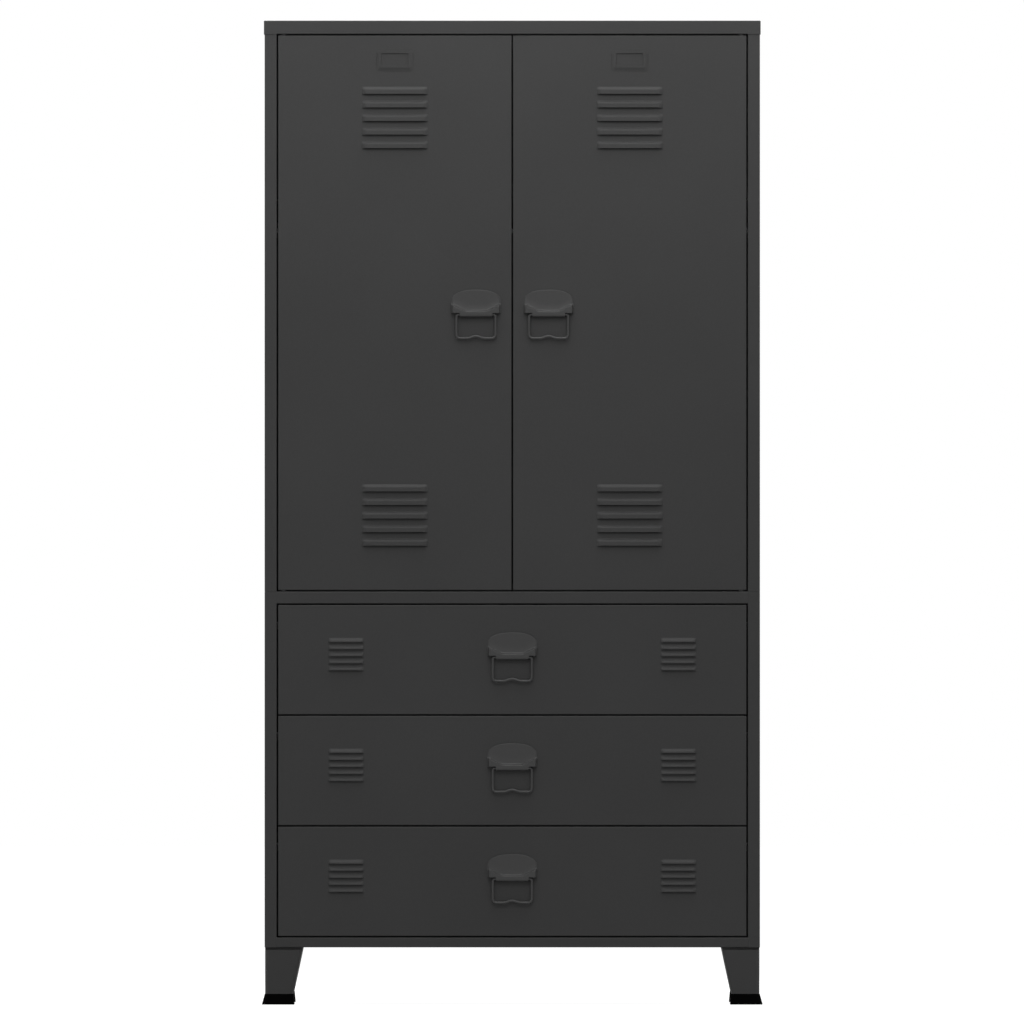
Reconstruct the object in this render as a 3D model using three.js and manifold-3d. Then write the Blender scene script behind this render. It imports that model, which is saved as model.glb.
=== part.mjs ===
// Sheet-steel wardrobe cabinet: two louvred doors over three louvred drawers, on four tapered legs.
// Millimetres, +Z up, +X to the right and +Y to the back, seen from the front.
// The cabinet is modelled with the front of its stiles at y = 0 and the floor at z = 0. At the end
// the whole group is shifted so that the origin is on the floor, under the middle of its box.
import * as THREE from "three";
import { mergeVertices } from "three/addons/utils/BufferGeometryUtils.js";
import Module from "manifold-3d";

const wasm = await Module();
wasm.setup();

// ---------------------------------------------------------------- driving dimensions
const WIDTH = 900; // over the side panels
const DEPTH = 500; // stile face to rear flange
const SHEET = 1; // steel sheet of every folded panel
const FIT = 0.3; // clearance between pieces that seat on each other
const GAP = 2.4; // visible gap round doors and drawers

const LEG_HEIGHT = 104; // floor to underside of the body
const BOTTOM_RAIL = 18;
const DRAWER_COUNT = 3;
const DRAWER_HEIGHT = 199;
const MIDDLE_RAIL = 22;
const DOOR_HEIGHT = 1008;
const CAP_HEIGHT = 24.6;
const STILE = 22; // face width of the front stiles
const STILE_RETURN = 45; // how far a stile is folded back into the cabinet
const REAR_FLANGE = 20;
const RAIL_RETURN = 22; // how far the front rails are folded back
const RAIL_HEM = 8;
const FRONT_DEPTH = 18; // thickness of the door and drawer pans

const DOOR_HEM = 14; // rim turned in at the back of a door pan
const PIN_RADIUS = 3;
const PIN_INSET = 10; // pin axis from the hinge edge of the door
const PIN_SETBACK = 5; // pin axis behind the door face
const PIN_LENGTH = 10; // how far a pin reaches into the door and into the frame
const COLLAR_RADIUS = 5;
const STOP_GAP = 1; // between a closed door and the strip that it closes on
const STOP_HEIGHT = 14;
const STOP_END = 46; // the strips end this far short of the stiles, clear of the turning door edge

const STIFFENER_OFFSET = 135; // from the middle of the door towards its hinges
const STIFFENER_WIDTH = 60;
const STIFFENER_CROWN = 36;

const DOOR_LOUVRE = { width: 120, height: 13.5, proud: 5, taper: 9, pitch: 24.65, count: 5 };
const DOOR_LOUVRES_FROM_TOP = 107; // top edge to the first lip
const DOOR_LOUVRES_FROM_BOTTOM = 80; // bottom edge to the last lip
const DRAWER_LOUVRE = { width: 65, height: 9, proud: 3.6, taper: 5.5, pitch: 12.8, count: 5 };
const DRAWER_LOUVRES_FROM_TOP = 68.5;
const DRAWER_LOUVRES_OFFSET = 302; // middle of each group from the middle of the drawer
const LOUVRE_SEGMENTS = 3;
const LOUVRE_END = 0.3; // how far a louvre's end stands out, as a share of its middle
const LOUVRE_FLARE = 1.5; // power of its section: it leans out more and more towards the lip

const CARD_HOLDER_FROM_TOP = 46.3; // door top to the middle of the holder
const CARD_HOLDER = { width: 66, height: 37, corner: 5, thickness: 1.8 };
const CARD_WINDOW = { width: 49, height: 22.7, corner: 3, lift: 2.4 }; // lift: above the holder's middle
const CARD_SLOT = 0.8; // depth of the pocket behind the window
const CARD_RIM = 4; // the card reaches this far behind the rim

const HANDLE_FROM_CENTRE = 66; // door handles, from the line where the doors meet
const DOOR_HANDLE_HEIGHT = 546; // door bottom to the top of the handle
const DRAWER_HANDLE_FROM_TOP = 50;
const PLATE_HALF = 45; // half the width of the handle plate
const PLATE_PROUD = 2.5; // thin upper part of the plate
const BAND_PROUD = 10; // swelling that holds the bail
const ARCH_DROP = 20; // how far the arched top edge falls at its ends
const ARCH_POWER = 2.2;
const SMILE_FLAT = 15; // the crease is level this far either side of the middle
const SMILE_LOW = 37.7; // crease below the top edge, in the middle
const SMILE_HIGH = 25; // and at the ends
const EAR_BOTTOM = 42.2; // underside of the ears below the top edge
const EAR_INNER = 29.75; // from the middle to where the ears begin
const BAIL_DROP = 45; // pivot below the top edge
const BAIL_OUT = 5.5; // pivot in front of the door face
const BAIL_HALF = 35.4; // middle of a bail leg
const BAIL_LENGTH = 43.1; // pivot to the middle of the grip
const BAIL_WIRE = 2.25; // radius
const BAIL_TOP_CORNER = 4;
const BAIL_GRIP_CORNER = 9;
const BAIL_WAVE = 4.5; // rise in the middle of the grip
const BAIL_WAVE_HALF = 15;
const BAIL_SLACK = 0.35; // clearance of the wire in its tunnel

const TRAY_DEPTH = 440;
const TRAY_HEIGHT = 155;
const TRAY_LIFT = 10; // tray floor above the bottom edge of the drawer front
const TRAY_SIDE_GAP = 14.5; // tray side to the stile return
const TRAY_FLANGE = 12;
const TRAY_LIP = 9;
const SLIDE_PLAY = 0.5; // between the tray's flange and the runner
const RUNNER_LEDGE = 12;
const RUNNER_LENGTH = 468;
const RUNNER_FOOT = 24; // rear bracket against the side panel

const SHELF_HEIGHT = 1490; // top face above the floor
const SHELF_THICKNESS = 25;
const SHELF_HEM = 10;
const SHELF_ANGLE_DROP = 30;
const SHELF_ANGLE_REACH = 22;
const SHELF_ANGLE_INSET = 20; // the angles end this far in from the front and back of the shelf

const RAIL_TUBE_RADIUS = 12.5;
const RAIL_TUBE_WALL = 1.5;
const RAIL_BELOW_SHELF = 55; // tube axis below the underside of the shelf
const SOCKET_PLATE = 2;
const SOCKET_RADIUS = 24;
const SOCKET_CUP = 18; // depth of the cup round the end of the tube
const SOCKET_WALL = 2.5;

const CATCH = { width: 56, height: 18, depth: 16, lug: 12, lugThickness: 2 };

const LEG = { top: 70, bottom: 52, wall: 1.5, corner: 5 };
const LEG_PLATE = 4; // spacer between leg and body
const LEG_PLATE_INSET = 3;
const FOOT_HEIGHT = 19.5;
const FOOT_FLOOR = 4;
const FOOT_PROUD = 2.4; // boot over the leg, at its top
const FOOT_FLARE = 4.9; // and at the floor

// ---------------------------------------------------------------- levels worked out from them
const BODY_BOTTOM = LEG_HEIGHT;
const DRAWERS_BOTTOM = BODY_BOTTOM + BOTTOM_RAIL;
const DRAWER_PITCH = DRAWER_HEIGHT + GAP;
const DRAWERS_TOP = DRAWERS_BOTTOM + DRAWER_COUNT * DRAWER_PITCH + GAP;
const DECK_TOP = DRAWERS_TOP + MIDDLE_RAIL;
const DOOR_BOTTOM = DECK_TOP + GAP;
const DOOR_TOP = DOOR_BOTTOM + DOOR_HEIGHT;
const APRON_BOTTOM = DOOR_TOP + GAP;
const TOP = APRON_BOTTOM + CAP_HEIGHT;

const HALF = WIDTH / 2;
const OPENING = HALF - STILE; // half the clear width between the stiles
const INNER = HALF - SHEET - FIT; // half the width between the side sheets, less clearance
const BETWEEN_STILES = OPENING - FIT;
const REAR_SHEET_Y = DEPTH - SHEET - FIT; // outer face of the back sheets
const REAR_INNER_Y = REAR_SHEET_Y - SHEET - FIT; // where decks and floor end
const UNDER_CAP = TOP - SHEET - FIT;
const DOOR_WIDTH = OPENING - (3 * GAP) / 2;
const DOOR_CENTRE = (GAP + DOOR_WIDTH) / 2;
const DRAWER_WIDTH = 2 * (OPENING - GAP);
const PIN_X = OPENING - GAP - PIN_INSET;
const STOP_HALF = OPENING - STOP_END;
const TRAY_HALF = OPENING - TRAY_SIDE_GAP;

// ---------------------------------------------------------------- finishes
const paint = finish(0x434343, 0.55, 0.1);
const paintInside = finish(0x3e3e3e, 0.6, 0.1);
const handlePaint = finish(0x3c3c3c, 0.45, 0.2);
const rubber = finish(0x0b0b0b, 0.8, 0);
const zinc = finish(0x9a9d9f, 0.4, 0.9);
const chrome = finish(0xc8cacc, 0.2, 1);
const plastic = finish(0x202020, 0.5, 0);

function finish(color, roughness, metalness) {
  return new THREE.MeshStandardMaterial({ color, roughness, metalness });
}

// ---------------------------------------------------------------- shaping helpers
// A closed geometry as a solid that can be joined and cut.
function toSolid(geometry) {
  const bare = new THREE.BufferGeometry();
  const source = geometry.index ? geometry.toNonIndexed() : geometry;
  bare.setAttribute("position", source.getAttribute("position"));
  const merged = mergeVertices(bare, 1e-4);
  const mesh = new wasm.Mesh({
    numProp: 3,
    vertProperties: merged.attributes.position.array,
    triVerts: new Uint32Array(merged.index.array),
  });
  return new wasm.Manifold(mesh);
}

// A solid back as a flat-shaded geometry.
function toGeometry(solid) {
  const mesh = solid.getMesh();
  const indexed = new THREE.BufferGeometry();
  indexed.setAttribute("position", new THREE.BufferAttribute(mesh.vertProperties, mesh.numProp));
  indexed.setIndex(new THREE.BufferAttribute(mesh.triVerts, 1));
  const geometry = indexed.toNonIndexed();
  geometry.computeVertexNormals();
  return geometry;
}

function box(x0, x1, y0, y1, z0, z1) {
  const geometry = new THREE.BoxGeometry(x1 - x0, y1 - y0, z1 - z0);
  geometry.translate((x0 + x1) / 2, (y0 + y1) / 2, (z0 + z1) / 2);
  return toSolid(geometry);
}

// A round bar about the line through (x, y) along Z.
function uprightBar(radius, x, y, z0, z1, sides = 16) {
  const geometry = new THREE.CylinderGeometry(radius, radius, z1 - z0, sides);
  geometry.rotateX(Math.PI / 2).translate(x, y, (z0 + z1) / 2);
  return toSolid(geometry);
}

// A round bar about the line through (y, z) along X.
function levelBar(radius, x0, x1, y, z, sides = 16) {
  const geometry = new THREE.CylinderGeometry(radius, radius, x1 - x0, sides);
  geometry.rotateZ(Math.PI / 2).translate((x0 + x1) / 2, y, z);
  return toSolid(geometry);
}

// The closed outline of a sheet folded along an open path, with its thickness to the left of it.
function folded(path, thickness = SHEET) {
  const points = path.map(([u, v]) => new THREE.Vector2(u, v));
  const leftOf = (a, b) => new THREE.Vector2(a.y - b.y, b.x - a.x).normalize();
  const inner = points.map((point, i) => {
    const before = i > 0 ? leftOf(points[i - 1], point) : null;
    const after = i < points.length - 1 ? leftOf(point, points[i + 1]) : null;
    const offset = before && after ? before.clone().add(after) : (before ?? after).clone();
    const along = before && after ? 1 + before.dot(after) : 1;
    return point.clone().addScaledVector(offset, thickness / along);
  });
  return [...points, ...inner.reverse()];
}

// Outline in (x, y) drawn out along Z; it may run either way round.
function extrude(outline, from, to, holes = []) {
  const clockwise = THREE.ShapeUtils.isClockWise(outline);
  const shape = new THREE.Shape(clockwise ? [...outline].reverse() : outline);
  shape.holes = holes.map((hole) => new THREE.Path(hole));
  const geometry = new THREE.ExtrudeGeometry(shape, { depth: to - from, bevelEnabled: false });
  return geometry.translate(0, 0, from);
}

// Outline in (x, y), drawn out along Z.
function extrudeZ(outline, z0, z1) {
  return toSolid(extrude(outline, z0, z1));
}

// Outline in (y, z), drawn out along X.
function extrudeX(outline, x0, x1) {
  const turn = new THREE.Matrix4().set(0, 0, 1, 0, 1, 0, 0, 0, 0, 1, 0, 0, 0, 0, 0, 1);
  return toSolid(extrude(outline, x0, x1).applyMatrix4(turn));
}

// Outline in (x, z), drawn out along Y.
function extrudeY(outline, y0, y1, holes = []) {
  const swap = (points) => points.map((p) => new THREE.Vector2(p.y, p.x));
  const turn = new THREE.Matrix4().set(0, 1, 0, 0, 0, 0, 1, 0, 1, 0, 0, 0, 0, 0, 0, 1);
  return toSolid(extrude(swap(outline), y0, y1, holes.map(swap)).applyMatrix4(turn));
}

function roundedRectangle(width, height, corner, segments = 3) {
  const points = [];
  for (let quarter = 0; quarter < 4; quarter++) {
    const sx = quarter === 0 || quarter === 3 ? 1 : -1;
    const sy = quarter < 2 ? 1 : -1;
    for (let i = 0; i <= segments; i++) {
      const angle = ((quarter + i / segments) * Math.PI) / 2;
      const x = sx * (width / 2 - corner) + corner * Math.cos(angle);
      const y = sy * (height / 2 - corner) + corner * Math.sin(angle);
      points.push(new THREE.Vector2(x, y));
    }
  }
  return points;
}

// Joins rings of equally many points into one closed surface. `across` flattens a ring's point to
// 2-D, counter-clockwise as seen against the direction in which the rings follow each other.
// Without it the last ring joins the first.
function loft(rings, across = null) {
  const size = rings[0].length;
  const vertices = rings.flat();
  const triangles = [];
  const spans = across ? rings.length - 1 : rings.length;
  for (let i = 0; i < spans; i++) {
    const near = i * size;
    const far = ((i + 1) % rings.length) * size;
    for (let j = 0; j < size; j++) {
      const next = (j + 1) % size;
      triangles.push([near + j, near + next, far + next], [near + j, far + next, far + j]);
    }
  }
  if (across) {
    const lid = (ring) => THREE.ShapeUtils.triangulateShape(ring.map(across), []);
    const last = (rings.length - 1) * size;
    triangles.push(...lid(rings[0]).map(([a, b, c]) => [c, b, a]));
    triangles.push(...lid(rings.at(-1)).map(([a, b, c]) => [last + a, last + b, last + c]));
  }
  const geometry = new THREE.BufferGeometry().setFromPoints(vertices);
  geometry.setIndex(triangles.flat());
  return toSolid(geometry);
}

const acrossX = (p) => new THREE.Vector2(p.y, p.z);
const acrossZ = (p) => new THREE.Vector2(p.x, p.y);

// A shallow box of sheet, hollow, with its face in front.
function hollowBox(halfWidth, depth, height) {
  const inner = halfWidth - SHEET;
  const shell = box(-halfWidth, halfWidth, 0, depth, 0, height);
  return shell.subtract(box(-inner, inner, SHEET, depth - SHEET, SHEET, height - SHEET));
}

// The same with its back (+Y) open inside a rim of the hem's width.
function pan(halfWidth, depth, height, hem) {
  const opening = box(hem - halfWidth, halfWidth - hem, SHEET, depth + SHEET, hem, height - hem);
  return hollowBox(halfWidth, depth, height).subtract(opening);
}

function mesh(name, solidOrGeometry, material) {
  const geometry = solidOrGeometry.isBufferGeometry ? solidOrGeometry : toGeometry(solidOrGeometry);
  const made = new THREE.Mesh(geometry, material);
  made.name = name;
  return made;
}

// Adds the same piece on the right and, mirrored, on the left.
function addPair(parent, name, solid, material) {
  for (const [side, sign] of [["right", 1], ["left", -1]]) {
    const piece = mesh(`${name}_${side}`, solid, material);
    piece.scale.x = sign;
    parent.add(piece);
  }
}

// ---------------------------------------------------------------- louvres
// Section of a louvre in (y, z), from its top, where it leaves the sheet, out to its lip. A wall
// gives the inside of a sheet that thick. `share` draws the section in towards the sheet.
function louvreSection({ height, proud }, share, wall) {
  const lift = height - Math.sqrt(height ** 2 - proud ** 2); // the lip rises as it is pressed out
  const points = [];
  for (let i = 0; i <= LOUVRE_SEGMENTS; i++) {
    const fall = i / LOUVRE_SEGMENTS; // 0 at the top, 1 at the lip
    const out = share * fall ** LOUVRE_FLARE;
    const slope = (LOUVRE_FLARE * share * proud * fall ** (LOUVRE_FLARE - 1)) / height;
    const lean = Math.atan(slope);
    const y = -proud * out + wall * Math.cos(lean);
    points.push([y, height * (1 - fall) + lift * out - wall * Math.sin(lean)]);
  }
  return points;
}

// One pressed hood, its lip along z = 0. The ends are drawn down towards the sheet.
function hood(louvre, wall, back) {
  const { width, height, taper } = louvre;
  const stations = [
    [wall - width / 2, LOUVRE_END],
    [taper - width / 2, 1],
    [width / 2 - taper, 1],
    [width / 2 - wall, LOUVRE_END],
  ];
  const rings = stations.map(([x, share]) => {
    const section = [[back, 0], [back, height], ...louvreSection(louvre, share, wall)];
    if (wall > 0) section.push([0, 0]); // keeps the slot under the lip open
    return section.map(([y, z]) => new THREE.Vector3(x, y, z));
  });
  return loft(rings, acrossX);
}

// Presses a group of louvres into a front sheet, its lips at z, z - pitch, and so on.
function pressLouvres(panel, louvre, x, topLip) {
  let pressed = panel;
  for (let i = 0; i < louvre.count; i++) {
    const place = (solid) => solid.translate([x, 0, topLip - i * louvre.pitch]);
    pressed = pressed.add(place(hood(louvre, 0, SHEET / 2)));
    pressed = pressed.subtract(place(hood(louvre, SHEET * 0.8, 2 * SHEET)));
  }
  return pressed;
}

// ---------------------------------------------------------------- carcass
function topCap() {
  const out = FIT + SHEET;
  const shell = box(-HALF - out, HALF + out, -out, DEPTH + out, APRON_BOTTOM, TOP);
  const hollow = box(-HALF - FIT, HALF + FIT, -FIT, DEPTH + FIT, APRON_BOTTOM, TOP - SHEET);
  const bottom = [APRON_BOTTOM, APRON_BOTTOM + SHEET];
  const flange = box(-BETWEEN_STILES, BETWEEN_STILES, -out, FRONT_DEPTH, ...bottom);
  return pinHoles(shell.subtract(hollow).add(flange), ...bottom);
}

// Holes for the two door pins through a sheet between two levels.
function pinHoles(solid, z0, z1) {
  const hole = (x) => uprightBar(PIN_RADIUS + FIT, x, PIN_SETBACK, z0 - SHEET, z1 + SHEET);
  return solid.subtract(hole(PIN_X)).subtract(hole(-PIN_X));
}

// Right side panel, folded in plan: stile return, stile, side and rear flange.
function sidePanel(z0, z1) {
  const path = [
    [OPENING, STILE_RETURN],
    [OPENING, 0],
    [HALF, 0],
    [HALF, DEPTH],
    [HALF - REAR_FLANGE, DEPTH],
  ];
  return extrudeZ(folded(path), z0, z1);
}

function backSheet(z0, z1) {
  return box(-INNER, INNER, REAR_SHEET_Y - SHEET, REAR_SHEET_Y, z0, z1);
}

// A deck or floor between the side panels, notched round the stile returns.
function crossPanel(path, thickness) {
  const [z0, z1] = [BODY_BOTTOM - SHEET, DECK_TOP + SHEET];
  const notch = (x0, x1) => box(x0, x1, -SHEET, STILE_RETURN + FIT, z0, z1);
  const sheet = extrudeX(folded(path, thickness), -INNER, INNER);
  return sheet.subtract(notch(BETWEEN_STILES, HALF)).subtract(notch(-HALF, -BETWEEN_STILES));
}

// Middle rail and wardrobe floor in one sheet, with the strip that the doors close on.
function middlePanel() {
  const path = [
    [REAR_INNER_Y, DECK_TOP - REAR_FLANGE],
    [REAR_INNER_Y, DECK_TOP],
    [0, DECK_TOP],
    [0, DRAWERS_TOP],
    [RAIL_RETURN, DRAWERS_TOP],
    [RAIL_RETURN, DRAWERS_TOP + RAIL_HEM],
  ];
  const stopY = FRONT_DEPTH + STOP_GAP;
  const stopTop = DECK_TOP + STOP_HEIGHT;
  const stop = box(-STOP_HALF, STOP_HALF, stopY, stopY + SHEET, DECK_TOP - SHEET, stopTop);
  return pinHoles(crossPanel(path, SHEET).add(stop), DECK_TOP - SHEET, DECK_TOP);
}

// Floor pan under the drawers, its front lip the bottom rail.
function bottomPanel() {
  const path = [
    [REAR_INNER_Y, BODY_BOTTOM + REAR_FLANGE],
    [REAR_INNER_Y, BODY_BOTTOM],
    [0, BODY_BOTTOM],
    [0, DRAWERS_BOTTOM],
    [RAIL_RETURN, DRAWERS_BOTTOM],
    [RAIL_RETURN, DRAWERS_BOTTOM - RAIL_HEM],
  ];
  return crossPanel(path, -SHEET);
}

// Angle under the front of the cap: the doors close on its lower edge.
function headRail() {
  const front = FRONT_DEPTH + STOP_GAP;
  const back = front + 2 * RAIL_RETURN;
  const low = APRON_BOTTOM - GAP - STOP_HEIGHT;
  const path = [
    [back, UNDER_CAP - RAIL_HEM],
    [back, UNDER_CAP],
    [front, UNDER_CAP],
    [front, low],
  ];
  const rail = extrudeX(folded(path), -BETWEEN_STILES, BETWEEN_STILES);
  const corner = (x0, x1) => box(x0, x1, 0, back, low - SHEET, APRON_BOTTOM);
  return rail.subtract(corner(STOP_HALF, OPENING)).subtract(corner(-OPENING, -STOP_HALF));
}

// Twin magnetic catch behind the meeting edges of the doors, hung on the head rail.
function doorCatch() {
  const front = FRONT_DEPTH + FIT;
  const strip = FRONT_DEPTH + STOP_GAP + SHEET;
  const top = APRON_BOTTOM - GAP - STOP_HEIGHT - FIT;
  const half = CATCH.width / 2;
  const body = box(-half, half, front, front + CATCH.depth, top - CATCH.height, top);
  const lugY = [strip + FIT, strip + FIT + CATCH.lugThickness];
  return body.add(box(-half, half, ...lugY, top - CATCH.lugThickness, top + CATCH.lug));
}

// ---------------------------------------------------------------- wardrobe fittings
function shelf() {
  const [y0, y1] = [STILE_RETURN + SHEET, REAR_INNER_Y];
  const [z0, z1] = [SHELF_HEIGHT - SHELF_THICKNESS, SHELF_HEIGHT];
  const board = box(-INNER, INNER, y0, y1, z0, z1);
  const inner = INNER - SHEET;
  const hollow = box(-inner, inner, y0 + SHEET, y1 - SHEET, z0 + SHEET, z1 - SHEET);
  const [hx, hy] = [INNER - SHELF_HEM, SHELF_HEM];
  const opening = box(-hx, hx, y0 + hy, y1 - hy, z0 - SHEET, z1 - SHEET);
  return board.subtract(hollow).subtract(opening);
}

// Angle on the right side panel that the shelf rests on.
function shelfAngle() {
  const top = SHELF_HEIGHT - SHELF_THICKNESS - FIT;
  const path = [
    [INNER - SHELF_ANGLE_REACH, top],
    [INNER, top],
    [INNER, top - SHELF_ANGLE_DROP],
  ];
  const front = STILE_RETURN + SHEET + SHELF_ANGLE_INSET;
  return extrudeY(folded(path, -SHEET), front, REAR_INNER_Y - SHELF_ANGLE_INSET);
}

const RAIL_Z = SHELF_HEIGHT - SHELF_THICKNESS - RAIL_BELOW_SHELF;
const RAIL_HALF = INNER - SOCKET_PLATE - FIT;

function hangingRail() {
  const [y, z] = [DEPTH / 2, RAIL_Z];
  const bore = levelBar(RAIL_TUBE_RADIUS - RAIL_TUBE_WALL, -HALF, HALF, y, z);
  return levelBar(RAIL_TUBE_RADIUS, -RAIL_HALF, RAIL_HALF, y, z).subtract(bore);
}

// Cup open at the top, so that the tube drops in from above; the right one of two.
function railSocket() {
  const [y, z] = [DEPTH / 2, RAIL_Z];
  const seat = RAIL_TUBE_RADIUS + FIT;
  const plateX = INNER - SOCKET_PLATE;
  const plate = levelBar(SOCKET_RADIUS, plateX, INNER, y, z, 24);
  const cup = levelBar(seat + SOCKET_WALL, plateX - SOCKET_CUP, plateX, y, z);
  const bore = levelBar(seat, plateX - SOCKET_CUP - SHEET, plateX, y, z);
  const mouth = box(plateX - SOCKET_CUP - SHEET, plateX, y - seat, y + seat, z, z + 2 * seat);
  return plate.add(cup).subtract(bore).subtract(mouth);
}

// ---------------------------------------------------------------- legs
// Outline of a leg at a height below the body, for the corner at the origin: x and y run into the
// cabinet, the outer faces stay upright and the inner faces draw in towards the floor.
function legOutline(z, grow) {
  const fall = (LEG_HEIGHT - z) / (LEG_HEIGHT - FOOT_HEIGHT);
  const side = LEG.top + (LEG.bottom - LEG.top) * fall;
  const corner = Math.max(LEG.corner + grow, SHEET);
  const ring = roundedRectangle(side + 2 * grow, side + 2 * grow, corner, 2);
  return ring.map((p) => new THREE.Vector3(p.x + side / 2, p.y + side / 2, z));
}

function legSolid(z0, z1, grow0, grow1 = grow0) {
  return loft([legOutline(z0, grow0), legOutline(z1, grow1)], acrossZ);
}

// Hollow tapered leg with the smaller spacer plate on top that leaves a dark reveal.
function leg() {
  const shoulder = LEG_HEIGHT - FIT - LEG_PLATE;
  const low = FOOT_FLOOR + FIT;
  const tube = legSolid(low, shoulder, 0).subtract(legSolid(low - SHEET, shoulder, -LEG.wall));
  const plate = legSolid(shoulder - LEG.wall, LEG_HEIGHT - FIT, -LEG_PLATE_INSET);
  const bridge = legSolid(shoulder - LEG.wall, shoulder, -LEG.wall / 2);
  return tube.add(plate).add(bridge);
}

// Rubber boot over the lower end of a leg.
function foot() {
  const outer = legSolid(0, FOOT_HEIGHT, FOOT_FLARE, FOOT_PROUD);
  return outer.subtract(legSolid(FOOT_FLOOR, FOOT_HEIGHT + SHEET, FIT));
}

function addLegs(parent) {
  for (const [row, y, signY] of [["front", 0, 1], ["rear", DEPTH, -1]]) {
    for (const [side, signX] of [["left", 1], ["right", -1]]) {
      const corner = new THREE.Group();
      corner.position.set(-signX * HALF, y, 0);
      corner.scale.set(signX, signY, 1);
      corner.add(mesh(`leg_${row}_${side}`, leg(), paint));
      corner.add(mesh(`foot_${row}_${side}`, foot(), rubber));
      parent.add(corner);
    }
  }
}

// ---------------------------------------------------------------- doors
function doorPanel() {
  let panel = pan(DOOR_WIDTH / 2, FRONT_DEPTH, DOOR_HEIGHT, DOOR_HEM);
  const groupHeight = (DOOR_LOUVRE.count - 1) * DOOR_LOUVRE.pitch;
  panel = pressLouvres(panel, DOOR_LOUVRE, 0, DOOR_HEIGHT - DOOR_LOUVRES_FROM_TOP);
  panel = pressLouvres(panel, DOOR_LOUVRE, 0, DOOR_LOUVRES_FROM_BOTTOM + groupHeight);
  const pinX = DOOR_WIDTH / 2 - PIN_INSET;
  const hole = (z0, z1) => uprightBar(PIN_RADIUS + FIT, pinX, PIN_SETBACK, z0, z1);
  panel = panel.subtract(hole(-SHEET, 2 * SHEET));
  return panel.subtract(hole(DOOR_HEIGHT - 2 * SHEET, DOOR_HEIGHT + SHEET));
}

// Hat section that stiffens a door on its hinge side, from bottom edge to top edge.
function doorStiffener() {
  const skin = SHEET + FIT;
  const crown = FRONT_DEPTH - SHEET - FIT;
  const [flange, web] = [STIFFENER_WIDTH / 2, STIFFENER_CROWN / 2];
  const path = [
    [-flange, skin],
    [-web, skin],
    [-web, crown - SHEET],
    [web, crown - SHEET],
    [web, skin],
    [flange, skin],
  ];
  const placed = path.map(([x, y]) => [x + STIFFENER_OFFSET, y]);
  return extrudeZ(folded(placed), skin, DOOR_HEIGHT - skin);
}

// Raised frame that holds a name card, open behind so that the card slips in from above.
function cardHolder() {
  const { width, height, corner, thickness } = CARD_HOLDER;
  const rim = roundedRectangle(width, height, corner);
  const middle = new THREE.Vector2(0, CARD_WINDOW.lift);
  const window = roundedRectangle(CARD_WINDOW.width, CARD_WINDOW.height, CARD_WINDOW.corner);
  window.forEach((point) => point.add(middle));
  const frame = extrudeY(rim, -FIT - thickness, -FIT, [window]);
  const half = CARD_WINDOW.width / 2 + CARD_RIM;
  const low = CARD_WINDOW.lift - CARD_WINDOW.height / 2 - CARD_RIM;
  return frame.subtract(box(-half, half, -FIT - CARD_SLOT, 0, low, height));
}

// Pin with a collar that fills the gap between frame and door; the door turns on it.
function doorPin() {
  const end = GAP / 2 + PIN_LENGTH;
  const collar = GAP / 2 - FIT;
  const profile = [
    [0, -end],
    [PIN_RADIUS, -end],
    [PIN_RADIUS, -collar],
    [COLLAR_RADIUS, -collar],
    [COLLAR_RADIUS, collar],
    [PIN_RADIUS, collar],
    [PIN_RADIUS, end],
    [0, end],
  ].map(([r, z]) => new THREE.Vector2(r, z));
  return toSolid(new THREE.LatheGeometry(profile, 16).rotateX(Math.PI / 2));
}

// ---------------------------------------------------------------- handles
// Distance below the top edge of the arched top, and of the smiling crease, at x.
const archAt = (x) => ARCH_DROP * (1 - (1 - Math.abs(x / PLATE_HALF) ** ARCH_POWER) ** (1 / ARCH_POWER));
const smileAt = (x) => {
  const rise = THREE.MathUtils.smoothstep(Math.abs(x), SMILE_FLAT, PLATE_HALF);
  return SMILE_LOW + (SMILE_HIGH - SMILE_LOW) * rise;
};

// Section of the handle plate at x: a thin arched sheet that swells along the crease into a band,
// which curls under round the wire of the bail.
function plateSection(x) {
  const top = -archAt(x);
  const crease = -smileAt(x);
  const edge = Math.max(Math.abs(x) - (PLATE_HALF - BAIL_DROP / 10), 0) / (BAIL_DROP / 10);
  const thin = 0.6 + 0.4 * Math.sqrt(Math.max(1 - edge * edge, 0));
  const curl = BAND_PROUD - BAIL_OUT;
  const half = curl / 2;
  const points = [
    [0, top],
    [-PLATE_PROUD / 2, top],
    [-PLATE_PROUD, top - PLATE_PROUD / 2],
    [-PLATE_PROUD, crease + half],
    [-PLATE_PROUD - half / 2, crease + half / 3],
    [-BAND_PROUD + half / 2, crease - half / 3],
    [-BAND_PROUD + half / 6, crease - half],
  ];
  for (let i = 0; i <= 4; i++) {
    const angle = Math.PI + (i / 4) * (Math.PI / 2);
    points.push([curl * Math.cos(angle) - BAIL_OUT, curl * Math.sin(angle) - BAIL_DROP]);
  }
  points.push([0, curl * Math.sin(-Math.PI / 2) - BAIL_DROP]);
  return points.map(([y, z]) => new THREE.Vector3(x, y * thin, z));
}

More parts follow.
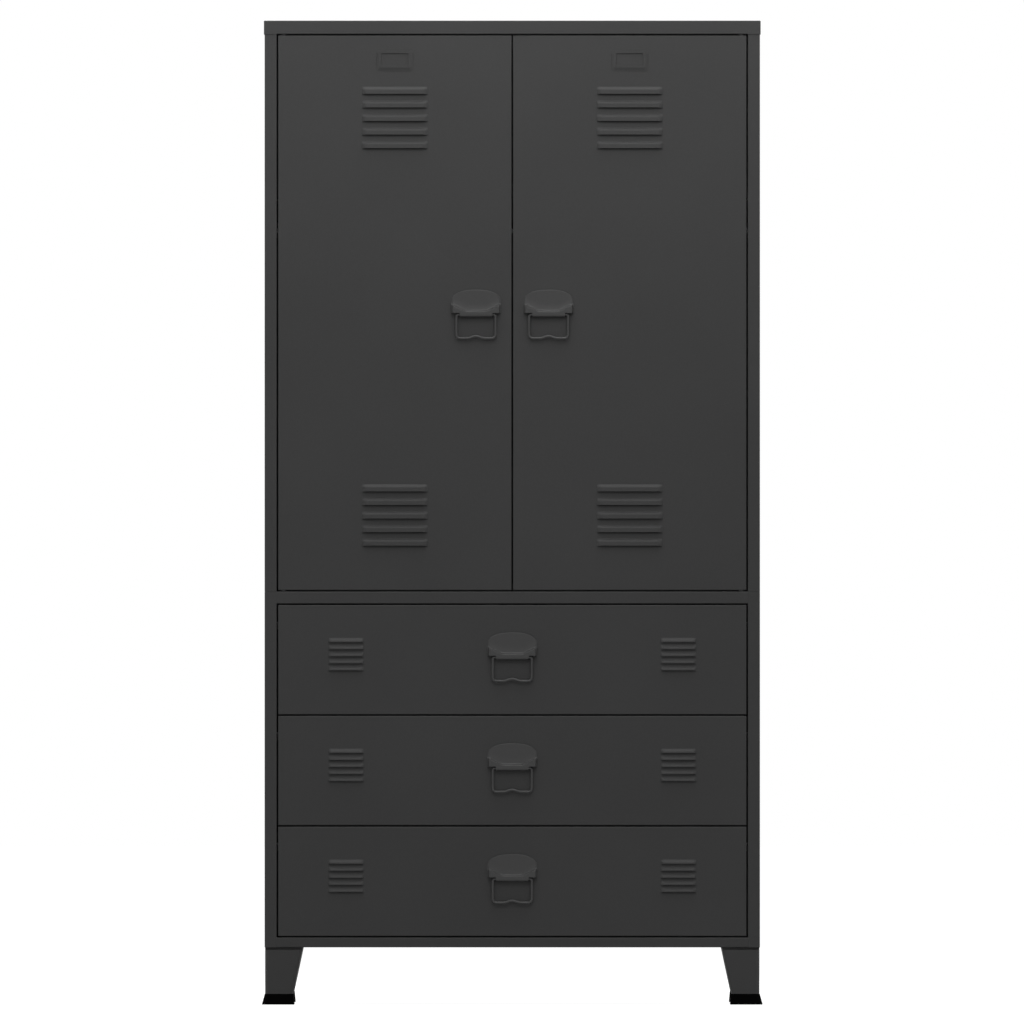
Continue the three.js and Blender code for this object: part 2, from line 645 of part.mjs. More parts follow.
// The handle plate, its top edge at the origin and its back on the face of the door.
function handlePlate() {
  const steps = 8;
  const rings = [];
  for (let i = -steps; i <= steps; i++) {
    rings.push(plateSection(PLATE_HALF * Math.sin(((i / steps) * Math.PI) / 2)));
  }
  const below = -BAIL_DROP - BAND_PROUD;
  const underEar = (x0, x1) => box(x0, x1, -2 * BAND_PROUD, SHEET, below, -EAR_BOTTOM);
  const tunnel = levelBar(BAIL_WIRE + BAIL_SLACK, -PLATE_HALF, PLATE_HALF, -BAIL_OUT, -BAIL_DROP, 12);
  return loft(rings, acrossX)
    .subtract(underEar(EAR_INNER, PLATE_HALF + SHEET))
    .subtract(underEar(-PLATE_HALF - SHEET, -EAR_INNER))
    .subtract(tunnel);
}

// Right half of the bail's centre line in (x, z), from the middle of the tunnel wire down the leg
// and along the wavy grip.
function bailPath() {
  const arc = (cx, cz, radius, from, to, steps) =>
    Array.from({ length: steps + 1 }, (_, i) => {
      const angle = THREE.MathUtils.degToRad(from + ((to - from) * i) / steps);
      return new THREE.Vector2(cx + radius * Math.cos(angle), cz + radius * Math.sin(angle));
    });
  const top = arc(BAIL_HALF - BAIL_TOP_CORNER, -BAIL_TOP_CORNER, BAIL_TOP_CORNER, 90, 0, 3);
  const gripZ = BAIL_GRIP_CORNER - BAIL_LENGTH;
  const grip = arc(BAIL_HALF - BAIL_GRIP_CORNER, gripZ, BAIL_GRIP_CORNER, 0, -90, 4);
  const wave = [0.75, 0.5, 0.25].map((share) => {
    const rise = BAIL_WAVE * Math.cos((share * Math.PI) / 2) ** 2;
    return new THREE.Vector2(BAIL_WAVE_HALF * share, rise - BAIL_LENGTH);
  });
  return [...top, ...grip, ...wave];
}

// Closed loop of round wire that hangs from the origin and swings about X.
function bail() {
  const right = bailPath();
  const left = right.map((p) => new THREE.Vector2(-p.x, p.y)).reverse();
  const middle = new THREE.Vector2(0, BAIL_WAVE - BAIL_LENGTH);
  const path = [...right, middle, ...left];
  const sides = 8;
  const rings = path.map((point, i) => {
    const before = path.at(i - 1);
    const after = path[(i + 1) % path.length];
    const along = after.clone().sub(before).normalize();
    return Array.from({ length: sides }, (_, j) => {
      const angle = ((j + 0.5) / sides) * 2 * Math.PI;
      const out = BAIL_WIRE * Math.cos(angle);
      const deep = -BAIL_WIRE * Math.sin(angle);
      return new THREE.Vector3(point.x - along.y * out, deep, point.y + along.x * out);
    });
  });
  return loft(rings);
}

// A handle plate with its bail; `name` tells which door or drawer it is on.
function handle(name) {
  const group = new THREE.Group();
  group.add(mesh(`handle_plate_${name}`, handlePlate().translate([0, -FIT, 0]), handlePaint));
  const swinging = mesh(`handle_bail_${name}`, bail(), handlePaint);
  swinging.position.set(0, -FIT - BAIL_OUT, -BAIL_DROP);
  group.add(swinging);
  return group;
}

function addDoors(parent) {
  for (const [side, sign] of [["left", -1], ["right", 1]]) {
    const door = new THREE.Group();
    door.position.set(sign * DOOR_CENTRE, 0, DOOR_BOTTOM);
    const panel = mesh(`door_panel_${side}`, doorPanel(), paint);
    const stiffener = mesh(`door_stiffener_${side}`, doorStiffener(), paintInside);
    panel.scale.x = sign;
    stiffener.scale.x = sign;
    const holder = mesh(`card_holder_${side}`, cardHolder(), paint);
    holder.position.z = DOOR_HEIGHT - CARD_HOLDER_FROM_TOP;
    const grip = handle(`door_${side}`);
    grip.position.set(sign * (HANDLE_FROM_CENTRE - DOOR_CENTRE), 0, DOOR_HANDLE_HEIGHT);
    door.add(panel, stiffener, holder, grip);
    parent.add(door);
    for (const [end, z] of [["lower", DOOR_BOTTOM - GAP / 2], ["upper", DOOR_TOP + GAP / 2]]) {
      const pin = mesh(`door_pin_${end}_${side}`, doorPin(), zinc);
      pin.position.set(sign * PIN_X, PIN_SETBACK, z);
      parent.add(pin);
    }
  }
}

// ---------------------------------------------------------------- drawers
// Double-skinned front: the pan is closed behind by the plate that the tray is fixed to.
function drawerFront() {
  let front = hollowBox(DRAWER_WIDTH / 2, FRONT_DEPTH, DRAWER_HEIGHT);
  const topLip = DRAWER_HEIGHT - DRAWER_LOUVRES_FROM_TOP;
  front = pressLouvres(front, DRAWER_LOUVRE, -DRAWER_LOUVRES_OFFSET, topLip);
  return pressLouvres(front, DRAWER_LOUVRE, DRAWER_LOUVRES_OFFSET, topLip);
}

const TRAY_TOP = TRAY_LIFT + TRAY_HEIGHT;

// Tray of one sheet: floor, side walls and, rolled out at the top, the flanges that run on the
// runners. The drawer front closes it in front.
function drawerTray() {
  const front = FRONT_DEPTH + FIT;
  const inner = TRAY_HALF - SHEET;
  const flange = TRAY_HALF + TRAY_FLANGE;
  const path = [
    [-flange, TRAY_TOP - TRAY_LIP],
    [-flange, TRAY_TOP],
    [-inner, TRAY_TOP],
    [-inner, TRAY_LIFT + SHEET],
    [inner, TRAY_LIFT + SHEET],
    [inner, TRAY_TOP],
    [flange, TRAY_TOP],
    [flange, TRAY_TOP - TRAY_LIP],
  ];
  return extrudeY(folded(path, -SHEET), front, front + TRAY_DEPTH);
}

// Rear wall that stands in the tray, between its sides.
function drawerBack() {
  const half = TRAY_HALF - SHEET - FIT;
  const rear = FRONT_DEPTH + FIT + TRAY_DEPTH;
  return box(-half, half, rear - SHEET, rear, TRAY_LIFT + SHEET + FIT, TRAY_TOP);
}

// Channel that a tray flange runs in, on the right: fixed to the stile return in front and, by
// its foot, to the side panel at the back. Heights are measured from the bottom of the drawer.
function runner() {
  const low = TRAY_TOP - TRAY_LIP - SLIDE_PLAY - SHEET;
  const high = TRAY_TOP + SLIDE_PLAY + SHEET;
  const [y0, y1] = [FRONT_DEPTH + GAP, FRONT_DEPTH + GAP + RUNNER_LENGTH];
  const channel = [
    [BETWEEN_STILES - RUNNER_LEDGE, low],
    [BETWEEN_STILES, low],
    [BETWEEN_STILES, high],
    [BETWEEN_STILES - RUNNER_LEDGE, high],
  ];
  const bracket = [
    [BETWEEN_STILES - SHEET, y1],
    [INNER, y1],
    [INNER, y1 - RUNNER_FOOT],
  ];
  return extrudeY(folded(channel), y0, y1).add(extrudeZ(folded(bracket, -SHEET), low, high));
}

function addDrawers(parent) {
  for (let i = 0; i < DRAWER_COUNT; i++) {
    const level = DRAWER_COUNT - i; // drawer 1 is the uppermost
    const z = DRAWERS_BOTTOM + GAP + i * DRAWER_PITCH;
    const drawer = new THREE.Group();
    drawer.position.z = z;
    drawer.add(mesh(`drawer_front_${level}`, drawerFront(), paint));
    drawer.add(mesh(`drawer_tray_${level}`, drawerTray(), paintInside));
    drawer.add(mesh(`drawer_back_${level}`, drawerBack(), paintInside));
    const grip = handle(`drawer_${level}`);
    grip.position.z = DRAWER_HEIGHT - DRAWER_HANDLE_FROM_TOP;
    drawer.add(grip);
    parent.add(drawer);
    const runners = new THREE.Group();
    runners.position.z = z;
    addPair(runners, `runner_${level}`, runner(), zinc);
    parent.add(runners);
  }
}

// ---------------------------------------------------------------- assembly
function addCarcass(parent) {
  parent.add(mesh("top_cap", topCap(), paint));
  addPair(parent, "side_upper", sidePanel(DECK_TOP + FIT, UNDER_CAP), paint);
  addPair(parent, "side_lower", sidePanel(BODY_BOTTOM, DECK_TOP), paint);
  parent.add(mesh("back_upper", backSheet(DECK_TOP + FIT, UNDER_CAP), paint));
  parent.add(mesh("back_lower", backSheet(BODY_BOTTOM, DECK_TOP), paint));
  parent.add(mesh("middle_panel", middlePanel(), paint));
  parent.add(mesh("bottom_panel", bottomPanel(), paint));
  parent.add(mesh("head_rail", headRail(), paint));
  parent.add(mesh("door_catch", doorCatch(), plastic));
}

function addFittings(parent) {
  parent.add(mesh("shelf", shelf(), paint));
  addPair(parent, "shelf_angle", shelfAngle(), zinc);
  parent.add(mesh("hanging_rail", hangingRail(), chrome));
  addPair(parent, "rail_socket", railSocket(), zinc);
}

const cabinet = new THREE.Group();
addCarcass(cabinet);
addFittings(cabinet);
addLegs(cabinet);
addDoors(cabinet);
addDrawers(cabinet);

const reach = new THREE.Box3().setFromObject(cabinet, true);
cabinet.position.y = -(reach.min.y + reach.max.y) / 2;

export default cabinet;
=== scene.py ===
"""Steel wardrobe cabinet with drawers: its looks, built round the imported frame.

Shapes are worked out in millimetres, with x to the right, y to the back from the front of the
stiles and z up from the floor. They become metres in the frame's place when a piece is made.
"""

import math

import bmesh
import bpy
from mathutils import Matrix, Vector


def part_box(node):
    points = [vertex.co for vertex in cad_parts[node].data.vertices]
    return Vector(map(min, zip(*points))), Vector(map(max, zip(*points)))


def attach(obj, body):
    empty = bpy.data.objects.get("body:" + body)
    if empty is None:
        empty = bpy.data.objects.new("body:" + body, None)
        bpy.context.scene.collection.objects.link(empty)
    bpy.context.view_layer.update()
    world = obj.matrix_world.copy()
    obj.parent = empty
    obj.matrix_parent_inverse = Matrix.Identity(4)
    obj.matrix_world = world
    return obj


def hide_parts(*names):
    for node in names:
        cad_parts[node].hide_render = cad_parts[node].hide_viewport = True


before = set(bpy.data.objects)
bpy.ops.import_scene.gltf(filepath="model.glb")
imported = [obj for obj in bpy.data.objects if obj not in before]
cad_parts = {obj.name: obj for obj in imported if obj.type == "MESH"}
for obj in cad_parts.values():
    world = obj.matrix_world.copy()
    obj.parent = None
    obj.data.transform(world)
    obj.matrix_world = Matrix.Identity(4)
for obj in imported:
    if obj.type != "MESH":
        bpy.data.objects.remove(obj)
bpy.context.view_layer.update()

MM = 0.001
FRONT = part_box("side_upper_left")[0].y  # front of the stiles, in the frame's metres
SIDES = {"left": -1, "right": 1}
DRAWERS = [i for i in range(1, 10) if f"drawer_tray_{i}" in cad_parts]  # 1 is at the top

SHEET = 1.0  # steel sheet
BEND = 0.7  # inside radius of its folds
FOLD_STEPS = 4
FIT = 0.3  # clearance between pieces that seat on each other
HALF_WIDTH = 450
STILE = 22  # face of the front stiles
STILE_RETURN = 45  # how far they are folded back
BETWEEN = HALF_WIDTH - STILE - FIT  # half the room between the stiles
REAR_FLANGE = 20
RAIL_RETURN = 22  # depth of the front rails
HEM = 8  # turned edge of a rail
STOP_HALF = 382  # the strips that the doors close on end short of the pivot pins
LEG_HEIGHT = 104
PAN_DEPTH = 18  # of doors and drawer fronts

DOOR_LOUVRE = {
    "Width": 120, "Height": 14.3, "Proud": 5, "Taper": 9, "Lip": 7.6, "Pitch": 24.65}
DRAWER_LOUVRE = {
    "Width": 65, "Height": 9.6, "Proud": 3.6, "Taper": 5.5, "Lip": 1.2, "Pitch": 12.8}
LOUVRE_COUNT = 5
LOUVRE_LEAN = 0.16  # share of its depth that a louvre leans out by over its whole height
LOUVRE_COLUMNS = 24  # cells across one louvre
LOUVRE_ROWS = 12  # and up it


def span(node):
    """Lowest and highest corner of a CAD node, in millimetres."""
    shift = Vector((0, FRONT, 0))
    low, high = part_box(node)
    return (low - shift) / MM, (high - shift) / MM


# ---- node trees
def add(tree, kind, inputs=None, out=0, **settings):
    """Adds a node with its settings and links, and gives back one of its outputs."""
    node = tree.nodes.new(kind)
    for name, value in settings.items():
        setattr(node, name, value)
    for key, value in (inputs or {}).items():
        socket = node.inputs[key]
        if isinstance(value, bpy.types.NodeSocket):
            tree.links.new(value, socket)
        else:
            socket.default_value = value
    return node.outputs[out] if node.outputs else node


def new_tree(name, **inputs):
    """A Geometry Nodes tree with its geometry and these other inputs, and what they give."""
    tree = bpy.data.node_groups.new(name, "GeometryNodeTree")
    sockets = tree.interface
    sockets.new_socket("Geometry", in_out="OUTPUT", socket_type="NodeSocketGeometry")
    for title, kind in {"Geometry": "Geometry", **inputs}.items():
        sockets.new_socket(title, in_out="INPUT", socket_type=f"NodeSocket{kind}")
    return tree, tree.nodes.new("NodeGroupInput").outputs


def end_tree(tree, instances, material):
    """Ends a tree: its instances become one plain mesh with its material."""
    real = add(tree, "GeometryNodeRealizeInstances", {"Geometry": instances})
    coated = add(tree, "GeometryNodeSetMaterial", {"Geometry": real, "Material": material})
    add(tree, "NodeGroupOutput", {"Geometry": coated})
    return tree


def linear(colour):
    """An sRGB hex colour as linear red, green, blue and alpha."""
    channels = [int(colour[i : i + 2], 16) / 255 for i in (1, 3, 5)]
    return [c / 12.92 if c <= 0.04045 else ((c + 0.055) / 1.055) ** 2.4 for c in channels] + [1]


# ---- materials
def new_material(name):
    """An empty material, with the object coordinates that its patterns lie on."""
    material = bpy.data.materials.new(name)
    material.use_nodes = True
    tree = material.node_tree
    tree.nodes.clear()
    place = add(tree, "ShaderNodeTexCoord", out="Object")
    return material, tree, place


def powder_coat(name, light, dark, roughness, sheen):
    """Polyester powder coat, sprayed and stoved: an even, matt anthracite skin with a fine orange
    peel of about 1.5 mm, and slow clouds a hand's span wide where the layer is thicker."""
    material, tree, place = new_material(name)
    cloud = add(tree, "ShaderNodeTexNoise", {
        "Vector": place, "Scale": 1 / (260 * MM), "Detail": 3}, "Fac")
    speck = add(tree, "ShaderNodeTexNoise", {
        "Vector": place, "Scale": 1 / (2.2 * MM), "Detail": 2}, "Fac")
    mixed = add(tree, "ShaderNodeMath", {0: cloud, 1: speck}, operation="ADD")
    share = add(tree, "ShaderNodeMapRange", {"Value": mixed, "From Min": 0.7, "From Max": 1.3})
    colour = add(tree, "ShaderNodeMix", {"Factor": share, "A": linear(dark), "B": linear(light)},
                 "Result", data_type="RGBA")
    peel = add(tree, "ShaderNodeTexNoise", {
        "Vector": place, "Scale": 1 / (1.5 * MM), "Detail": 1}, "Fac")
    bump = add(tree, "ShaderNodeBump", {"Height": peel, "Strength": 0.25, "Distance": 0.05 * MM})
    gloss = add(tree, "ShaderNodeMapRange", {
        "Value": speck, "To Min": roughness - 0.03, "To Max": roughness + 0.03})
    skin = add(tree, "ShaderNodeBsdfPrincipled", {
        "Base Color": colour, "Roughness": gloss, "Normal": bump, "Specular IOR Level": sheen})
    add(tree, "ShaderNodeOutputMaterial", {"Surface": skin})
    return material


def metal(name, colour, worn, roughness, grain):
    """Plated steel: bright metal with faint clouds, 6 mm wide, in its colour and gloss from the
    plating bath, drawn out along a tube."""
    material, tree, place = new_material(name)
    stretched = add(tree, "ShaderNodeMapping", {"Vector": place, "Scale": grain})
    cloud = add(tree, "ShaderNodeTexNoise", {
        "Vector": stretched, "Scale": 1 / (6 * MM), "Detail": 4}, "Fac")
    tone = add(tree, "ShaderNodeMix", {"Factor": cloud, "A": linear(worn), "B": linear(colour)},
               "Result", data_type="RGBA")
    gloss = add(tree, "ShaderNodeMapRange", {
        "Value": cloud, "To Min": roughness + 0.08, "To Max": roughness})
    bump = add(tree, "ShaderNodeBump", {"Height": cloud, "Strength": 0.1, "Distance": 0.02 * MM})
    skin = add(tree, "ShaderNodeBsdfPrincipled", {
        "Base Color": tone, "Metallic": 1, "Roughness": gloss, "Normal": bump})
    add(tree, "ShaderNodeOutputMaterial", {"Surface": skin})
    return material


def moulded(name, colour, dusty, roughness, sheen, grain, depth):
    """Moulded rubber or plastic: the matt skin of an eroded mould, its grain about half a
    millimetre wide, a little paler where it is rubbed."""
    material, tree, place = new_material(name)
    rub = add(tree, "ShaderNodeTexNoise", {
        "Vector": place, "Scale": 1 / (25 * MM), "Detail": 5}, "Fac")
    tone = add(tree, "ShaderNodeMix", {"Factor": rub, "A": linear(colour), "B": linear(dusty)},
               "Result", data_type="RGBA")
    pits = add(tree, "ShaderNodeTexNoise", {
        "Vector": place, "Scale": 1 / (grain * MM), "Detail": 2}, "Fac")
    bump = add(tree, "ShaderNodeBump", {"Height": pits, "Strength": 0.4, "Distance": depth * MM})
    skin = add(tree, "ShaderNodeBsdfPrincipled", {
        "Base Color": tone, "Roughness": roughness, "Normal": bump, "Specular IOR Level": sheen})
    add(tree, "ShaderNodeOutputMaterial", {"Surface": skin})
    return material


# Matt coat of all painted sheet
COAT = powder_coat("powder_coated_steel", "#3e3e3e", "#3a3a3a", 0.52, 0.14)
# The same coat on die-cast zinc, which is smoother under it, so it shines a little more
HANDLE_COAT = powder_coat("painted_zinc_casting", "#393939", "#353535", 0.38, 0.3)
# Deep black, dull rubber of the boots
RUBBER = moulded("moulded_rubber", "#010101", "#030303", 0.85, 0.02, 0.6, 0.04)
# Black acetal of catch, washers and buffers, with the faint shine of a hard plastic
CATCH_PLASTIC = moulded("moulded_acetal", "#161616", "#1d1d1d", 0.45, 0.3, 0.4, 0.02)
# Silvery plate with soft, blurred reflections
ZINC = metal("bright_zinc_plate", "#c6cacd", "#a4a8ab", 0.32, (1, 1, 1))
# Bright tube with clearer reflections, its clouds drawn out tenfold along x
CHROME = metal("chromed_tube", "#d4d6d8", "#c8cbce", 0.18, (0.1, 1, 1))


# ---- shapes: lists of points and faces
def join(*shapes):
    points, faces = [], []
    for more, more_faces in shapes:
        start = len(points)
        points += more
        faces += [[start + i for i in face] for face in more_faces]
    return points, faces


def moved(shape, x=0, y=0, z=0):
    points, faces = shape
    return [(p[0] + x, p[1] + y, p[2] + z) for p in points], faces


def mirrored(shape, x, y=1):
    """The shape mirrored where a sign is -1, its faces still pointing outwards."""
    points, faces = shape
    flip = x * y < 0
    return [(p[0] * x, p[1] * y, p[2]) for p in points], [f[::-1] if flip else f for f in faces]


def bent(path):
    """A path with its corners turned along arcs. The sheet lies left of it, so that a turn to the
    left runs round the outside of a fold."""
    points = [Vector(path[0])]
    for before, corner, after in zip(path, path[1:], path[2:]):
        corner = Vector(corner)
        into = (corner - Vector(before)).normalized()
        away = (Vector(after) - corner).normalized()
        angle = math.atan2(into.x * away.y - into.y * away.x, into.dot(away))
        if abs(angle) < 1e-4:
            points.append(corner)
            continue
        radius = BEND + SHEET if angle > 0 else BEND
        start = corner - into * radius * math.tan(abs(angle) / 2)
        towards = Vector((-into.y, into.x)) * math.copysign(radius, angle)
        centre = start + towards
        for i in range(FOLD_STEPS + 1):
            turn = angle * i / FOLD_STEPS
            arm = -towards
            points.append(centre + Vector((
                arm.x * math.cos(turn) - arm.y * math.sin(turn),
                arm.x * math.sin(turn) + arm.y * math.cos(turn))))
    return points + [Vector(path[-1])]


ALONG = {
    "x": lambda u, v, s: (s, u, v),
    "y": lambda u, v, s: (u, s, v),
    "z": lambda u, v, s: (u, v, s),
}


def folded(path, stations, axis, left_out=None):
    """Face of a sheet folded along a path and drawn out through stations on an axis. Cells where
    left_out(point of the path, station) holds are open."""
    points, at, count = bent(path), ALONG[axis], len(stations)
    corners = [at(p.x, p.y, s) for p in points for s in stations]
    faces = []
    for i, (p, q) in enumerate(zip(points, points[1:])):
        for j, (s, t) in enumerate(zip(stations, stations[1:])):
            if left_out and left_out((p + q) / 2, (s + t) / 2):
                continue
            first = i * count + j
            quad = [first, first + count, first + count + 1, first + 1]
            faces.append(quad[::-1] if axis == "y" else quad)
    return corners, faces


def pan(x_lines, z_lines, depth, hem, open_at=None, hemmed=None):
    """Face of a shallow pan of sheet, open to the back (+y). Its outer edges are the first and last
    lines. Cells where open_at(x, z) holds are left out; hemmed(x, z) tells which edges turn in."""
    radius = BEND + SHEET
    xs = [x_lines[0] + radius, *x_lines[1:-1], x_lines[-1] - radius]
    zs = [z_lines[0] + radius, *z_lines[1:-1], z_lines[-1] - radius]
    points = [(x, 0.0, z) for z in zs for x in xs]
    wide = len(xs)
    faces = []
    for k in range(len(zs) - 1):
        for i in range(wide - 1):
            if open_at and open_at((xs[i] + xs[i + 1]) / 2, (zs[k] + zs[k + 1]) / 2):
                continue
            first = k * wide + i
            faces.append([first, first + 1, first + wide + 1, first + wide])
    top, right = len(zs) - 1, wide - 1
    loop = [(i, 0) for i in range(right)] + [(right, k) for k in range(top)]
    loop += [(i, top) for i in range(right, 0, -1)] + [(0, k) for k in range(top, 0, -1)]
    arc = [math.pi / 2 * i / FOLD_STEPS for i in range(FOLD_STEPS + 1)]
    out = [(radius * math.sin(a), radius * (1 - math.cos(a))) for a in arc]
    back = [(radius * math.cos(a), depth - radius * (1 - math.sin(a))) for a in arc]
    back.append((radius - hem, depth))

    def ring(offset, y):
        start = len(points)
        for i, k in loop:
            x = xs[i] + offset * ((i == right) - (i == 0))
            z = zs[k] + offset * ((k == top) - (k == 0))
            points.append((x, y, z))
        return start

    rings = [ring(*step) for step in out + back]
    straight = ring(radius, depth) if hemmed else None
    for j, (i, k) in enumerate(loop):
        nxt = (j + 1) % len(loop)
        x = (xs[i] + xs[loop[nxt][0]]) / 2
        z = (zs[k] + zs[loop[nxt][1]]) / 2
        turned = not hemmed or hemmed(x, z)
        used = rings if turned else rings[: len(out)] + [straight]
        for near, far in zip(used, used[1:]):
            faces.append([near + j, far + j, far + nxt, near + nxt])
    return points, faces


def laid(shape, y, z):
    """A pan turned to face up, its z running to the back."""
    points, faces = shape
    return moved(([(p[0], p[2], -p[1]) for p in points], faces), 0, y, z)


def loft(rings, closed=False, ends=False):
    """Surface through rings of equally many points, each ring a loop."""
    size, points = len(rings[0]), [tuple(p) for ring in rings for p in ring]
    faces = []
    for i in range(len(rings) if closed else len(rings) - 1):
        near, far = i * size, (i + 1) % len(rings) * size
        for j in range(size):
            k = (j + 1) % size
            faces.append([near + j, near + k, far + k, far + j])
    if ends:
        faces += [list(range(size))[::-1], [len(points) - size + j for j in range(size)]]
    return points, faces


def rectangle(x0, x1, y0, y1, radius, steps=5):
    """Points of a rectangle with round corners, anticlockwise."""
    points = []
    for quarter, (x, y) in enumerate([(x1, y1), (x0, y1), (x0, y0), (x1, y0)]):
        cx = x - radius if x == x1 else x + radius
        cy = y - radius if y == y1 else y + radius
        for i in range(steps + 1):
            angle = math.pi / 2 * (quarter + i / steps)
            points.append((cx + radius * math.cos(angle), cy + radius * math.sin(angle)))
    return points


def turned(profile, sides, axis, centre):
    """Surface of revolution: (radius, distance) pairs round an axis through centre."""
    rings = []
    for radius, along in profile:
        ring = []
        for i in range(sides):
            angle = 2 * math.pi * i / sides
            p = ALONG[axis](radius * math.cos(angle), radius * math.sin(angle), along)
            ring.append(tuple(c + d for c, d in zip(centre, p)))
        rings.append(ring)
    return loft(rings)


def block(x0, x1, y0, y1, z0, z1, radius):
    """A cast or moulded block with round upright corners and softened rims."""
    rings = []
    for inset, z in [(radius, z0), (0.3 * radius, z0 + 0.3 * radius), (0, z0 + radius),
                     (0, z1 - radius), (0.3 * radius, z1 - 0.3 * radius), (radius, z1)]:
        outline = rectangle(x0 + inset, x1 - inset, y0 + inset, y1 - inset, 1.2 * radius, 3)
        rings.append([(x, y, z) for x, y in outline])
    return loft(rings, ends=True)


# ---- pieces
def settle(piece):
    """Turns a piece's modifiers into its plain mesh."""
    bpy.context.view_layer.update()
    graph = bpy.context.evaluated_depsgraph_get()
    done = bpy.data.meshes.new_from_object(
        piece.evaluated_get(graph), preserve_all_data_layers=True, depsgraph=graph)
    piece.modifiers.clear()
    piece.data = done
    return piece


def raw(name, shape, material=None):
    """An object from a shape, in the frame's metres."""
    points, faces = shape
    mesh = bpy.data.meshes.new(name)
    mesh.from_pydata([(x * MM, y * MM + FRONT, z * MM) for x, y, z in points], [], faces)
    if material:
        mesh.materials.append(material)
    piece = bpy.data.objects.new(name, mesh)
    bpy.context.scene.collection.objects.link(piece)
    return piece


def weld(piece, outward=False):
    """Merges the doubles of a piece, drops loose points and, if asked, turns its faces outward."""
    shape = bmesh.new()
    shape.from_mesh(piece.data)
    bmesh.ops.remove_doubles(shape, verts=shape.verts, dist=0.02 * MM)
    loose = [v for v in shape.verts if not v.link_faces]
    bmesh.ops.delete(shape, geom=loose, context="VERTS")
    if outward:
        bmesh.ops.recalc_face_normals(shape, faces=shape.faces)
    shape.to_mesh(piece.data)
    shape.free()
    return piece


def thicken(piece):
    """Gives a sheet its thickness, behind the face that was drawn."""
    wall = piece.modifiers.new("wall", "SOLIDIFY")
    wall.thickness = SHEET * MM
    wall.offset = -1
    wall.use_even_offset = True
    return settle(piece)


def cut(piece, tool):
    """Cuts a tool's shape out of a piece."""
    knife = weld(raw("tool", tool), outward=True)
    hole = piece.modifiers.new("hole", "BOOLEAN")
    hole.operation = "DIFFERENCE"
    hole.solver = "EXACT"
    hole.object = knife
    settle(piece)
    bpy.data.objects.remove(knife)


def finish(piece, body, replaced=(), crease=32):
    """Smooth faces with sharp creases, flat sheets kept flat, and the piece tied to its body."""
    piece.data.shade_smooth()
    piece.data.set_sharp_from_angle(angle=math.radians(crease))
    even = piece.modifiers.new("even", "WEIGHTED_NORMAL")
    even.keep_sharp = True
    settle(piece)
    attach(piece, body)
    if replaced:
        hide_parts(*replaced)


def steel(name, shape, body, replaced, material=COAT):
    """A piece of folded sheet."""
    finish(thicken(weld(raw(name, shape, material))), body, replaced)


def solid(name, shape, material, body, replaced=()):
    """A turned, cast or moulded piece, which is solid."""
    finish(weld(raw(name, shape, material), outward=True), body, replaced)


